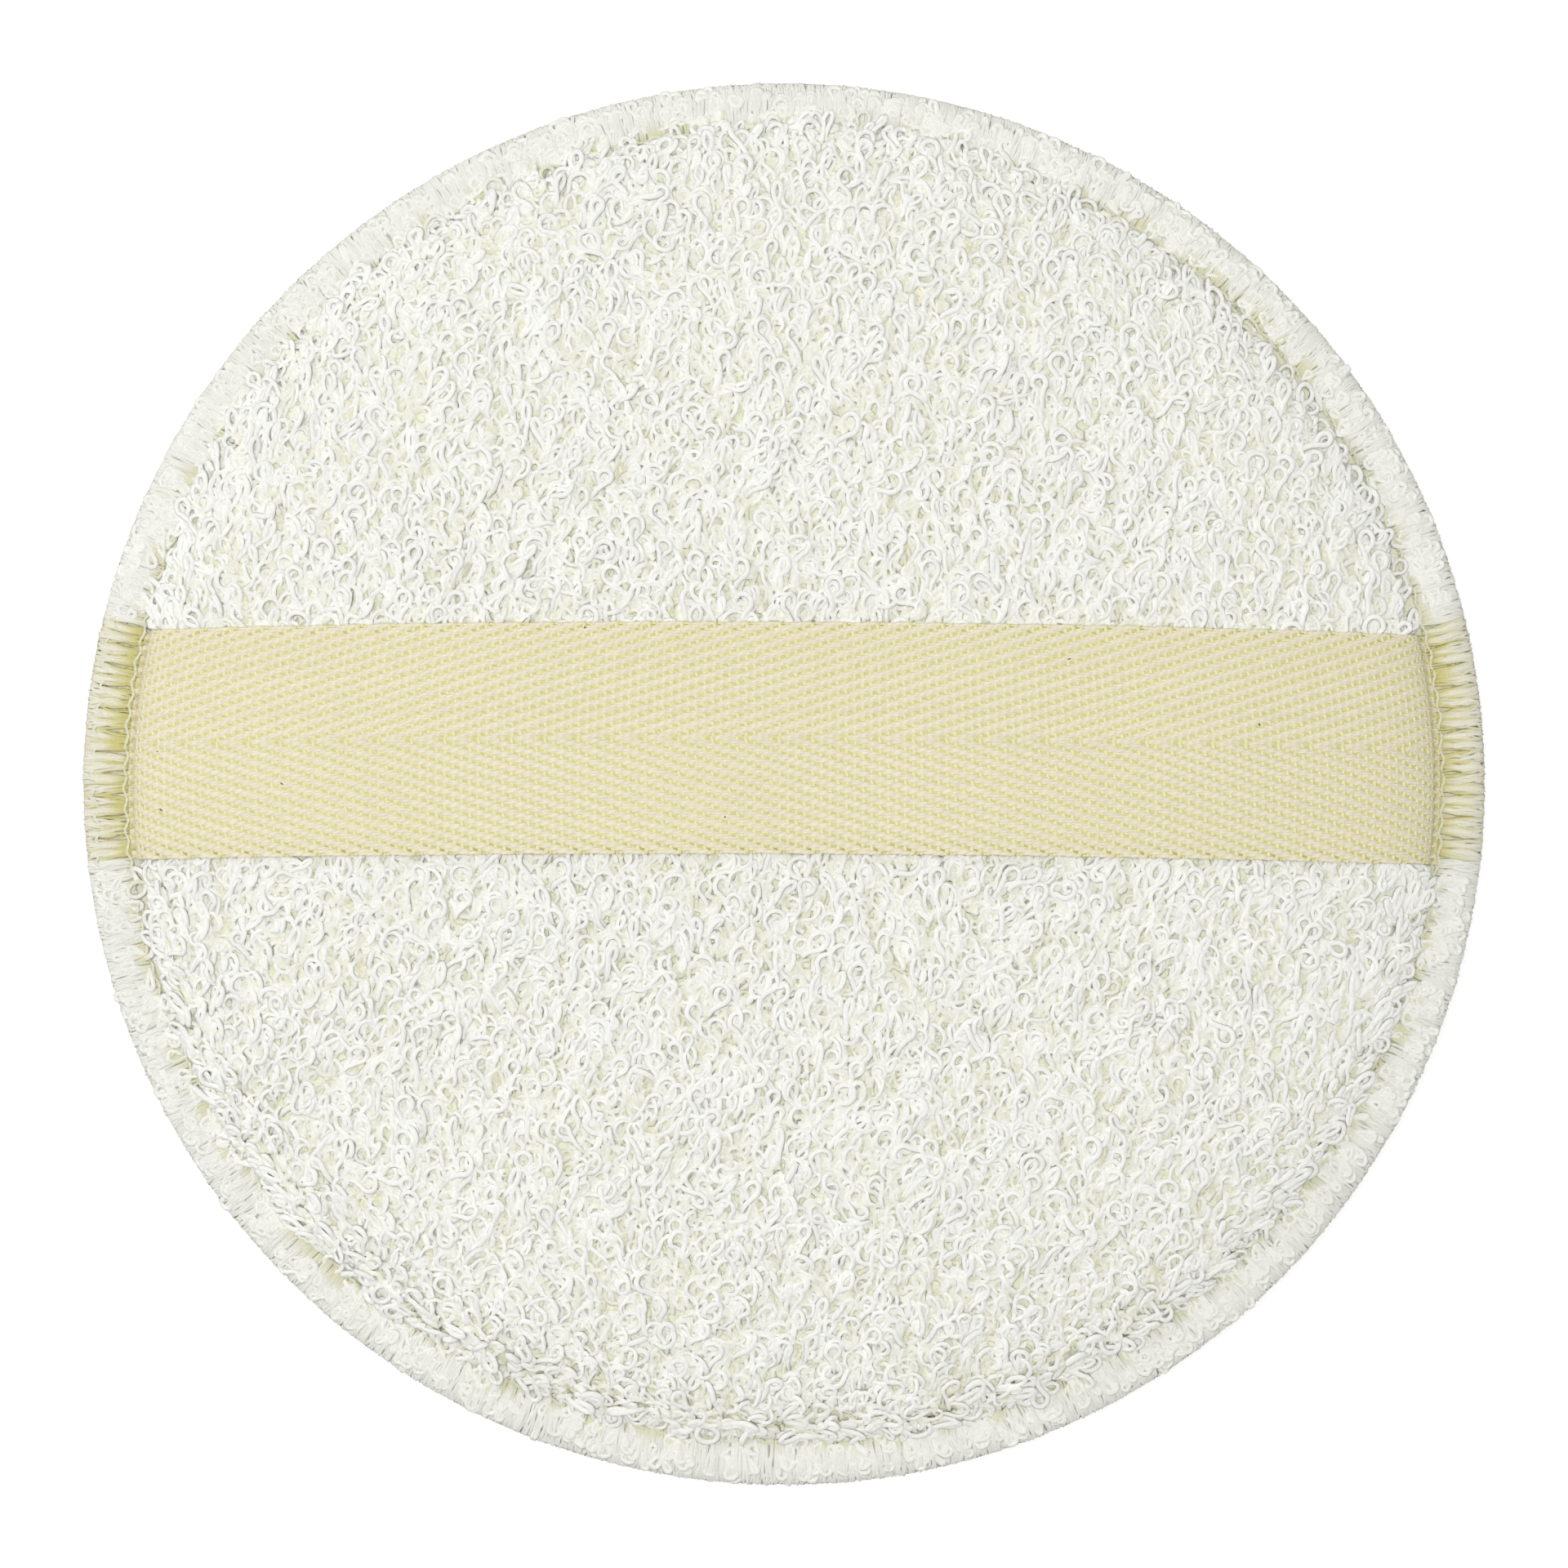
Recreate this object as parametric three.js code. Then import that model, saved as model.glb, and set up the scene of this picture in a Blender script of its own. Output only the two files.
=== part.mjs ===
// A round terry body sponge that is worn on the hand. Two terry covers hold a foam disc, a herringbone tape lies
// across the upper cover as the hand strap, and a three-thread overlock stitch closes the rim over the strap's ends.
// Millimetres, +Z up. The strap runs along X, a little to the +Y side of the middle. The origin is the middle of the
// flat foot that the pad rests on.
import * as THREE from "three";

// The pad
const PAD_RADIUS = 77.5; // to the outside of the stitched rim
const UPPER_CROWN = 14; // seam plane to the top of the pile on the strap side
const LOWER_CROWN = 14; // seam plane to the top of the pile on the scrubbing side
const FOOT_DEPTH = 0.5; // how far the lower crown is pressed flat where it rests
const SIDE_HEIGHT = 3.6; // seam plane to the fullest part of each side
const DRAW_IN = 0.8; // how far the seam pulls each side in under its fullest part
const CLOTH = 4; // terry cloth with its pile
const PRESSED_CLOTH = 1.5; // the same cloth under the stitching
const EDGE_CHAMFER = 0.9; // the trimmed edge rounds off over this length
const EDGE_THICKNESS = 0.2; // of each cover at its very edge
const CLEARANCE = 0.3; // between pieces that touch

// The overlock stitch
const STITCH_PITCH = 2.33; // along the needle line
const STITCH_BITE = 4.1; // needle line to the trimmed edge of the cloth
const LOOPER_WIDTH = 0.85; // a looper thread, spread flat on the cloth
const LOOPER_HEIGHT = 0.55;
const NEEDLE_WIDTH = 0.6;
const NEEDLE_HEIGHT = 0.45;

// The strap
const STRAP_WIDTH = 25;
const STRAP_OFFSET = 4.6; // from the middle of the pad to the middle line of the strap
const STRAP_THICKNESS = 0.9;
const STRAP_PRESSED = 0.7; // its thickness under the stitching
const STRAP_FOLD = 0.4; // inner radius where it turns up from the seam
const STRAP_GAP = 0.4; // between the strap and the pile that it lies on
const STRAP_SETBACK = 1.1; // its cut ends stop this far inside the edge of the cloth

// Powers of the crown's superellipse, across and upwards: it is fuller than a dome and softer than a drum
const ACROSS_POWER = 2.6;
const UPWARD_POWER = 2;

// Fineness of the faces
const ROUND_STEPS = 56;
const CROWN_STEPS = 8;
const CAVITY_STEPS = 5;
const SIDE_STEPS = 3;
const FOLD_STEPS = 4;
const STRAP_STEPS = 12;
const STRAP_ROWS = 6;

// Sizes that follow from those above. Heights are from the seam plane.
const clothEdge = PAD_RADIUS - LOOPER_HEIGHT - CLEARANCE;
const needleRadius = clothEdge - STITCH_BITE;
const strapOuter = needleRadius - LOOPER_WIDTH / 2 - CLEARANCE;
const strapInner = strapOuter - STRAP_THICKNESS;
const domeRadius = strapInner - STRAP_GAP;
const grooveRadius = domeRadius - DRAW_IN;
const cavityRadius = domeRadius - CLOTH;
const flangeTop = CLEARANCE / 2 + PRESSED_CLOTH;
const seamHeight = LOWER_CROWN - FOOT_DEPTH;
const strapEnd = clothEdge - STRAP_SETBACK;
const tabBottom = flangeTop + CLEARANCE;
const tabTop = tabBottom + STRAP_PRESSED;
const stitchesInQuarter = Math.round((Math.PI * needleRadius) / (2 * STITCH_PITCH));
const stitches = 4 * stitchesInQuarter;
const stitchAngle = (2 * Math.PI) / stitches;

/** Revolves a profile of (radius, height) points about Z. */
function turned(profile) {
  return new THREE.LatheGeometry(profile, ROUND_STEPS).rotateX(Math.PI / 2);
}

/**
 * Points of a crown from its rim (radius, base) up to its top at base + rise. Where flat is over 0 the top is pressed
 * flat by that much, and the last two points are the edge of the flat and its middle.
 */
function crown(radius, base, rise, steps, flat = 0) {
  const end = Math.asin(((rise - flat) / rise) ** (UPWARD_POWER / 2));
  const points = [];
  for (let i = 0; i <= steps; i++) {
    const angle = (end * i) / steps;
    const across = i === steps && flat === 0 ? 0 : Math.cos(angle) ** (2 / ACROSS_POWER);
    points.push(new THREE.Vector2(radius * across, base + rise * Math.sin(angle) ** (2 / UPWARD_POWER)));
  }
  if (flat > 0) points.push(new THREE.Vector2(0, base + rise - flat));
  return points;
}

/** Half of a cover's section, from the top of its cavity, round the flange, to the top of its crown. */
function coverSection(height, flat) {
  const cavity = crown(cavityRadius, CLEARANCE / 2, height - CLOTH - CLEARANCE / 2, CAVITY_STEPS).reverse();
  const flange = [
    new THREE.Vector2(clothEdge, CLEARANCE / 2),
    new THREE.Vector2(clothEdge, CLEARANCE / 2 + EDGE_THICKNESS),
    new THREE.Vector2(clothEdge - EDGE_CHAMFER, flangeTop),
  ];
  const side = [];
  for (let i = 0; i < SIDE_STEPS; i++) {
    const angle = ((Math.PI / 2) * i) / SIDE_STEPS;
    const out = grooveRadius + DRAW_IN * Math.sin(angle);
    side.push(new THREE.Vector2(out, SIDE_HEIGHT - (SIDE_HEIGHT - flangeTop) * Math.cos(angle)));
  }
  return [...cavity, ...flange, ...side, ...crown(domeRadius, SIDE_HEIGHT, height - SIDE_HEIGHT, CROWN_STEPS, flat)];
}

/** Turns a (radius, height) section over, with its points in the order that keeps its faces pointing out. */
function turnedOver(section) {
  return section.map((p) => new THREE.Vector2(p.x, -p.y)).reverse();
}

function upperCover() {
  return turned(coverSection(UPPER_CROWN, 0));
}

function lowerCover() {
  return turned(turnedOver(coverSection(LOWER_CROWN, FOOT_DEPTH)));
}

/** The foam disc, with a crown on both faces, loose in the covers by the clearance. */
function foamDisc() {
  const radius = cavityRadius - CLEARANCE;
  const upper = crown(radius, 0, UPPER_CROWN - CLOTH - CLEARANCE, CAVITY_STEPS);
  const lower = crown(radius, 0, LOWER_CROWN - CLOTH - CLEARANCE, CAVITY_STEPS);
  return turned([...turnedOver(lower).slice(0, -1), ...upper]);
}

/**
 * The strap. Its side view is an arch that follows the upper crown, stands up steeply from the seam and turns out
 * into a flat tab at each end. The extruded tape is then drawn in towards its two edges, so that the folds and the
 * cut ends follow the round seam.
 */
function strapTape() {
  const rise = UPPER_CROWN - SIDE_HEIGHT + STRAP_GAP;
  const outer = crown(strapOuter, SIDE_HEIGHT, rise + STRAP_THICKNESS, STRAP_STEPS);
  const inner = crown(strapInner, SIDE_HEIGHT, rise, STRAP_STEPS);
  const turn = new THREE.Vector2(strapOuter + STRAP_FOLD, tabTop + STRAP_FOLD);
  const fold = (across, down) =>
    Array.from({ length: FOLD_STEPS + 1 }, (_, i) => {
      const angle = ((Math.PI / 2) * i) / FOLD_STEPS;
      return new THREE.Vector2(turn.x - across * Math.cos(angle), turn.y - down * Math.sin(angle));
    });
  const foldOver = fold(STRAP_FOLD, STRAP_FOLD);
  const foldUnder = fold(STRAP_FOLD + STRAP_THICKNESS, STRAP_FOLD + STRAP_PRESSED);
  const over = [...outer.slice(0, -1).reverse(), ...foldOver, new THREE.Vector2(strapEnd, tabTop)];
  const under = [new THREE.Vector2(strapEnd, tabBottom), ...foldUnder.reverse(), ...inner.slice(0, -1)];
  const mirrored = (points) => points.map((p) => new THREE.Vector2(-p.x, p.y)).reverse();
  const outline = [outer.at(-1), ...over, ...under, inner.at(-1), ...mirrored(under), ...mirrored(over)];
  const extent = { depth: STRAP_WIDTH, steps: STRAP_ROWS, bevelEnabled: false };
  const tape = new THREE.ExtrudeGeometry(new THREE.Shape(outline), extent);
  tape.rotateX(Math.PI / 2).translate(0, STRAP_WIDTH / 2 + STRAP_OFFSET, 0);
  const { position } = tape.attributes;
  for (let i = 0; i < position.count; i++) {
    position.setX(i, position.getX(i) * Math.sqrt(1 - (position.getY(i) / needleRadius) ** 2));
  }
  tape.computeVertexNormals();
  return tape;
}

/** A point at a radius and an angle about Z. */
function polar(radius, angle, height) {
  return new THREE.Vector3(radius * Math.cos(angle), radius * Math.sin(angle), height);
}

/** How much higher the stitch runs at a place on the upper face: it climbs over the strap's tabs. */
function climb(radius, angle) {
  const beside = Math.abs(radius * Math.sin(angle) - STRAP_OFFSET) - STRAP_WIDTH / 2;
  const start = STITCH_PITCH / 2 + LOOPER_WIDTH;
  return (STRAP_PRESSED + CLEARANCE) * (1 - THREE.MathUtils.smoothstep(beside, start, start + STITCH_PITCH));
}

/**
 * A thread laid in a closed ring through knots, each { at, up }. Its section is a flat-bottomed ridge that lies on
 * the knots and stands up along up. Each four-sided face is split along its shorter diagonal, so that the thread
 * stays round where it turns back.
 */
function threadRing(knots, width, height) {
  const corners = [];
  knots.forEach(({ at, up }, i) => {
    const before = knots.at(i - 1).at;
    const after = knots[(i + 1) % knots.length].at;
    const along = after.clone().sub(before).normalize();
    const rise = up.clone().addScaledVector(along, -up.dot(along)).normalize();
    const aside = along.clone().cross(rise);
    const left = at.clone().addScaledVector(aside, -width / 2);
    const right = at.clone().addScaledVector(aside, width / 2);
    const ridge = at.clone().addScaledVector(rise, height);
    corners.push(left, right, ridge);
  });
  const sides = corners.length / knots.length;
  const index = [];
  for (let i = 0; i < corners.length; i += sides) {
    for (let j = 0; j < sides; j++) {
      const turn = (j + 1) % sides;
      const [a, b] = [i + j, i + turn];
      const [c, d] = [(a + sides) % corners.length, (b + sides) % corners.length];
      const across = corners[a].distanceTo(corners[d]) <= corners[b].distanceTo(corners[c]);
      index.push(...(across ? [a, c, d, a, d, b] : [a, c, b, b, c, d]));
    }
  }
  const geometry = new THREE.BufferGeometry().setFromPoints(corners);
  geometry.setIndex(index);
  geometry.computeVertexNormals();
  return geometry;
}

/**
 * A looper thread, which zigzags between the needle line and the trimmed edge once a stitch. face is 1 for the one on
 * the upper cover and -1 for the one on the lower, and the two meet where they turn round the edge.
 */
function looperThread(face) {
  const shoulderRadius = clothEdge - EDGE_CHAMFER + CLEARANCE;
  const onCloth = (radius, angle, up) => {
    const lift = face > 0 ? climb(radius, angle) : 0;
    return { at: polar(radius, angle, face * (tabBottom + lift)), up };
  };
  const knots = [];
  for (let i = 0; i < stitches; i++) {
    const start = i * stitchAngle;
    const out = start + stitchAngle / 4;
    const edge = start + stitchAngle / 2;
    const back = start + (3 * stitchAngle) / 4;
    const edgeHeight = face * (CLEARANCE / 2 + LOOPER_WIDTH / 2);
    knots.push(
      onCloth(needleRadius, start, new THREE.Vector3(0, 0, face)),
      onCloth(shoulderRadius, out, polar(1, out, face)),
      { at: polar(clothEdge + CLEARANCE, edge, edgeHeight), up: polar(1, edge, 0) },
      onCloth(shoulderRadius, back, polar(1, back, face)),
    );
  }
  return threadRing(knots, LOOPER_WIDTH, LOOPER_HEIGHT);
}

/** The needle thread, which holds down each loop of the upper looper thread and dips to the cloth in between. */
function needleThread() {
  const up = new THREE.Vector3(0, 0, 1);
  const knots = [];
  for (let i = 0; i < stitches; i++) {
    const over = i * stitchAngle;
    const dip = over + stitchAngle / 2;
    const cloth = (angle) => tabBottom + climb(needleRadius, angle);
    knots.push({ at: polar(needleRadius, over, cloth(over) + LOOPER_HEIGHT + CLEARANCE), up });
    knots.push({ at: polar(needleRadius, dip, cloth(dip)), up });
  }
  return threadRing(knots, NEEDLE_WIDTH, NEEDLE_HEIGHT);
}

const terry = { color: 0xf3f4ec, roughness: 0.95, metalness: 0 };
const twill = { color: 0xeee3c2, roughness: 0.8, metalness: 0 };
const cotton = { color: 0xf2f1e6, roughness: 0.85, metalness: 0 };
const foam = { color: 0xf1e6b4, roughness: 0.95, metalness: 0 };

function piece(name, geometry, finish) {
  const mesh = new THREE.Mesh(geometry, new THREE.MeshStandardMaterial(finish));
  mesh.name = name;
  return mesh;
}

const sponge = new THREE.Group();
sponge.position.z = seamHeight;
sponge.add(
  piece("upper_terry_cover", upperCover(), terry),
  piece("lower_terry_cover", lowerCover(), terry),
  piece("foam_core", foamDisc(), foam),
  piece("hand_strap", strapTape(), twill),
  piece("upper_looper_thread", looperThread(1), cotton),
  piece("lower_looper_thread", looperThread(-1), cotton),
  piece("needle_thread", needleThread(), cotton),
);

export default sponge;
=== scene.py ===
"""Looks of a round terry body sponge with a herringbone hand strap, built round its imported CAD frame.

Metres, +Z up, in the frame of the CAD part. Every yarn is real geometry: the loops of the pile, the ends and
picks of the strap's weave and the strands of the overlocked rim. The finishes are procedural.
"""

import logging
import math
from dataclasses import dataclass, replace
from enum import Enum

import bpy
import numpy as np
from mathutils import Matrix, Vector


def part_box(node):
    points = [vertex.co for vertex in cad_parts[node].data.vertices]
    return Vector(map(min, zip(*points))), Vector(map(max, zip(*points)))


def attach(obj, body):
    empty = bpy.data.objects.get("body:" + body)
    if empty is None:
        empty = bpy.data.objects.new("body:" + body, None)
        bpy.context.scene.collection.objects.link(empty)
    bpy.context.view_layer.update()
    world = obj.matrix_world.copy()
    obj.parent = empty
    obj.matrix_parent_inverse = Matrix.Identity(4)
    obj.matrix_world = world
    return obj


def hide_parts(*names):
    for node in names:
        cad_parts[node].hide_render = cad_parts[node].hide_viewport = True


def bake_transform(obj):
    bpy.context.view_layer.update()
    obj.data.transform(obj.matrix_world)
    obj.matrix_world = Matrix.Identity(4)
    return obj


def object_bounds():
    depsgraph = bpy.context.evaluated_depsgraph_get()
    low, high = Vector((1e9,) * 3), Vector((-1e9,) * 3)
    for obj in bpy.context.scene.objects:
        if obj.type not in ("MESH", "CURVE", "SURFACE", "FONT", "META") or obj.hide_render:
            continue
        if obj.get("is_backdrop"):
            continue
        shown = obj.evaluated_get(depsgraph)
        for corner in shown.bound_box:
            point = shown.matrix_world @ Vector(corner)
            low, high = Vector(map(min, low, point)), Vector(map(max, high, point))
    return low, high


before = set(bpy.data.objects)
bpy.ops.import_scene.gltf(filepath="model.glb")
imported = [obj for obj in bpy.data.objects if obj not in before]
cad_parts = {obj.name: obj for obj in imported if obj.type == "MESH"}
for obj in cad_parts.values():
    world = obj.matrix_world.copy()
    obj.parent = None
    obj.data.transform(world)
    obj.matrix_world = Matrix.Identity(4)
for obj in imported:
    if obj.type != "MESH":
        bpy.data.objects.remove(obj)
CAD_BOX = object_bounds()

Array = np.ndarray
Colour = tuple[float, float, float]
Material = bpy.types.Material
Piece = bpy.types.Object
Socket = bpy.types.NodeSocket
Tree = bpy.types.NodeTree
Span = tuple[float, float]

MM = 0.001
FULL_TURN = 2 * math.pi
QUARTER_TURN = math.pi / 2
TINY = 1e-12  # shorter than any way that is given the length 1
CLOSE = 0.05 * MM  # heights of the CAD nearer than this are the same
CLOTH_SHARE = 0.35  # how much a yarn's fuzz faces out of the cloth, against 1 for straight up

# Powers of the crown's superellipse, across and upwards, as the covers are shaped
ACROSS_POWER = 2.6
UPWARD_POWER = 2.0

log = logging.getLogger("body_sponge")


class Face(Enum):
    """A side of the pad. The value is the way it faces along Z."""

    UPPER = 1
    LOWER = -1

    @property
    def up(self) -> Array:
        """The way straight out of this side."""
        return np.array([0, 0, self.value])

    @property
    def label(self) -> str:
        """The word that this side's pieces are named by."""
        return self.name.lower()


# Vectors and lines


def unit(vectors: Array) -> Array:
    """Gives vectors the length 1."""
    return vectors / np.maximum(np.linalg.norm(vectors, axis=-1, keepdims=True), TINY)


def dot(first: Array, second: Array) -> Array:
    """The dot product of vectors, with its last axis kept."""
    return (first * second).sum(axis=-1, keepdims=True)


def smooth(share: Array) -> Array:
    """Eases 0 to 1 smoothly, and holds both beyond."""
    held = np.clip(share, 0, 1)
    return held * held * (3 - 2 * held)


def ways(angle: Array) -> Array:
    """The level ways at angles about Z, on a last axis of 3."""
    return np.stack([np.cos(angle), np.sin(angle), np.zeros_like(angle)], axis=-1)


def raised(normal: Array, face: Face) -> Array:
    """Ways out of the cloth, turned most of the way to straight out of that face of the pad."""
    return unit(CLOTH_SHARE * normal + face.up)


def crown_arc(radius: float, base: float, rise: float, steps: int) -> Array:
    """The side view of a crown.

    Args:
        radius: Its widest radius.
        base: The height at which it is widest.
        rise: How far its top is over that.
        steps: How many points it takes.

    Returns:
        (steps, 2) of radius and height, from the top down.
    """
    angle = np.linspace(QUARTER_TURN, 0, steps)
    across = radius * np.clip(np.cos(angle), 0, 1) ** (2 / ACROSS_POWER)
    points = np.stack([across, base + rise * np.sin(angle) ** (2 / UPWARD_POWER)], axis=1)
    points[0, 0] = 0
    return points


# Meshes


def linked(name: str, data: bpy.types.ID) -> Piece:
    """Makes an object of a mesh, light or camera and puts it into the scene."""
    made = bpy.data.objects.new(name, data)
    bpy.context.scene.collection.objects.link(made)
    return made


def floats(numbers: Array) -> Array:
    """Numbers as Blender's fast setters take them."""
    return numbers.astype(np.float32).ravel()


@dataclass
class MeshData:
    """A mesh as arrays, before it becomes an object.

    Attributes:
        vertices: (vertices, 3) places in metres.
        corners: The vertex of each corner of each face, face after face.
        counts: How many corners each face has.
        uv: (corners, 2) places on the map: millimetres along a yarn, and turns round it.
        values: Numbers or vectors for each vertex, by the name that the finishes read.
    """

    vertices: Array
    corners: Array
    counts: Array
    uv: Array
    values: dict[str, Array]

    @staticmethod
    def joined(parts: list["MeshData"]) -> "MeshData":
        """Puts several meshes into one.

        Args:
            parts: The meshes, which carry the same values.

        Returns:
            One mesh with all their faces.
        """
        starts = np.cumsum([0] + [len(part.vertices) for part in parts[:-1]])
        return MeshData(
            np.concatenate([part.vertices for part in parts]),
            np.concatenate([part.corners + start for part, start in zip(parts, starts)]),
            np.concatenate([part.counts for part in parts]),
            np.concatenate([part.uv for part in parts]),
            {name: np.concatenate([part.values[name] for part in parts]) for name in parts[0].values},
        )

    def to_object(self, name: str, material: Material) -> Piece:
        """Makes the Blender object.

        Args:
            name: The piece's name.
            material: Its finish.

        Returns:
            The object, linked into the scene, with smooth faces.
        """
        mesh = bpy.data.meshes.new(name)
        mesh.vertices.add(len(self.vertices))
        mesh.vertices.foreach_set("co", floats(self.vertices))
        mesh.loops.add(len(self.corners))
        mesh.loops.foreach_set("vertex_index", self.corners.astype(np.int32))
        mesh.polygons.add(len(self.counts))
        starts = np.concatenate([[0], np.cumsum(self.counts)[:-1]])
        mesh.polygons.foreach_set("loop_start", starts.astype(np.int32))
        mesh.polygons.foreach_set("use_smooth", np.ones(len(self.counts), bool))
        mesh.uv_layers.new(name="yarn", do_init=False).uv.foreach_set("vector", floats(self.uv))
        for value, numbers in self.values.items():
            kind, part = ("FLOAT", "value") if numbers.ndim == 1 else ("FLOAT_VECTOR", "vector")
            mesh.attributes.new(value, kind, "POINT").data.foreach_set(part, floats(numbers))
        mesh.update(calc_edges=True)
        mesh.validate()
        mesh.materials.append(material)
        return linked(name, mesh)


@dataclass
class Yarns:
    """A batch of yarns that have equally many points. What is alike for many can be given once.

    Attributes:
        centres: (yarns, points, 3) the lines that they follow.
        across: (yarns, points, 3) the way that each section's width lies.
        width: (yarns, points) half the section's width.
        height: (yarns, points) half the section's height.
        out: (yarns, points, 3) the way out of the cloth, which the yarn's fuzz makes it face a little.
        depth: (yarns, points) 0 low in the cloth and 1 on its surface; the lower, the more painted shade it
            takes.
        tone: (yarns) a shade of its own for each yarn, 0 to 1.
        sides: How many faces go round a yarn.
    """

    centres: Array
    across: Array
    width: Array | float
    height: Array | float
    out: Array
    depth: Array | float
    tone: Array | float
    sides: int = 5

    def __post_init__(self) -> None:
        """Spreads what was given once over all yarns and points."""
        each = self.centres.shape[:2]
        shapes = {"width": each, "height": each, "depth": each, "tone": each[:1]}
        shapes |= {"across": (*each, 3), "out": (*each, 3)}
        for name, shape in shapes.items():
            setattr(self, name, np.broadcast_to(getattr(self, name), shape))

    def picked(self, chosen: Array) -> "Yarns":
        """The yarns that chosen, a mask, is true for."""
        return replace(self, **{name: part[chosen] for name, part in vars(self).items() if name != "sides"})

    def to_mesh(self) -> MeshData:
        """Sweeps each yarn's section along its line.

        Returns:
            A mesh of closed tubes.
        """
        count, points = self.centres.shape[:2]
        sides = self.sides
        along = unit(np.gradient(self.centres, axis=1))
        aside = unit(self.across - dot(self.across, along) * along)
        upward = np.cross(along, aside)
        turn = FULL_TURN * np.arange(sides) / sides
        ring = (
            self.centres[:, :, None]
            + aside[:, :, None] * np.cos(turn)[:, None] * self.width[:, :, None, None]
            + upward[:, :, None] * np.sin(turn)[:, None] * self.height[:, :, None, None]
        )
        index = np.arange(count * points * sides).reshape(count, points, sides)
        following = np.roll(index, -1, axis=2)
        walls = np.stack([index[:, :-1], following[:, :-1], following[:, 1:], index[:, 1:]], axis=-1)
        caps = np.stack([index[:, 0, ::-1], index[:, -1]], axis=1)
        steps = np.linalg.norm(np.diff(self.centres, axis=1), axis=-1) / MM
        length = np.concatenate([np.zeros((count, 1)), np.cumsum(steps, axis=1)], axis=1)
        near, far = (np.repeat(part[:, :, None], sides, axis=2) for part in (length[:, :-1], length[:, 1:]))
        begin = np.broadcast_to(np.arange(sides) / sides, near.shape)
        finish = begin + 1 / sides
        wall_uv = np.stack([near, begin, near, finish, far, finish, far, begin], axis=-1)
        ends = length[:, [0, -1], None]
        cap_uv = np.stack(np.broadcast_arrays(ends, np.arange(sides) / sides), axis=-1)
        return MeshData(
            vertices=ring.reshape(-1, 3),
            corners=np.concatenate([walls.ravel(), caps.ravel()]),
            counts=np.repeat([4, sides], [walls.size // 4, 2 * count]),
            uv=np.concatenate([wall_uv.reshape(-1, 2), cap_uv.reshape(-1, 2)]),
            values={
                "out": np.repeat(self.out.reshape(-1, 3), sides, axis=0),
                "depth": np.repeat(self.depth.ravel(), sides),
                "tone": np.repeat(self.tone, points * sides),
            },
        )

    def to_object(self, name: str, material: Material) -> Piece:
        """Makes the Blender object of the yarns alone."""
        return self.to_mesh().to_object(name, material)


def plain_values(count: int) -> dict[str, Array]:
    """The values of a mesh of so many vertices that isn't made of yarns."""
    return {"out": np.zeros((count, 3)), "depth": np.zeros(count), "tone": np.full(count, 0.5)}


def revolved(section: Array, face: Face, seam: float, swell: Array) -> MeshData:
    """Revolves a closed section about Z.

    Args:
        section: (points, 2) of radius and height away from the seam plane, from the axis back to the axis.
        face: The side of the pad.
        seam: The height of the seam plane.
        swell: (points, segments) lengths added to the radius.

    Returns:
        The closed mesh, its faces pointing out.
    """
    segments = swell.shape[1]
    middle = np.array([0, 0, seam])
    radius = section[1:-1, 0, None] + swell[1:-1]
    ring = radius[..., None] * ways(FULL_TURN * np.arange(segments) / segments)
    ring = ring + section[1:-1, None, 1:] * face.up + middle
    poles = section[[0, -1], 1:] * face.up + middle
    index = np.arange(radius.size).reshape(-1, segments)
    following = np.roll(index, -1, axis=1)
    walls = np.stack([index[:-1], index[1:], following[1:], following[:-1]], axis=-1).reshape(-1, 4)
    top = np.stack([np.full(segments, index.size), index[0], following[0]], axis=-1)
    bottom = np.stack([np.full(segments, index.size + 1), following[-1], index[-1]], axis=-1)
    if face is Face.LOWER:
        walls, top, bottom = walls[:, ::-1], top[:, ::-1], bottom[:, ::-1]
    vertices = np.concatenate([ring.reshape(-1, 3), poles])
    corners = np.concatenate([walls.ravel(), top.ravel(), bottom.ravel()])
    counts = np.repeat([4, 3], [len(walls), 2 * segments])
    return MeshData(vertices, corners, counts, vertices[corners, :2] / MM, plain_values(len(vertices)))


def on_pad(pieces: list[Piece], node: str) -> list[Piece]:
    """Puts pieces on the pad's body.

    Args:
        pieces: The pieces.
        node: The CAD node that they stand for.

    Returns:
        The same pieces.
    """
    for piece in pieces:
        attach(piece, "pad")
        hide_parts(node)
    return pieces


# The pad's form


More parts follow.
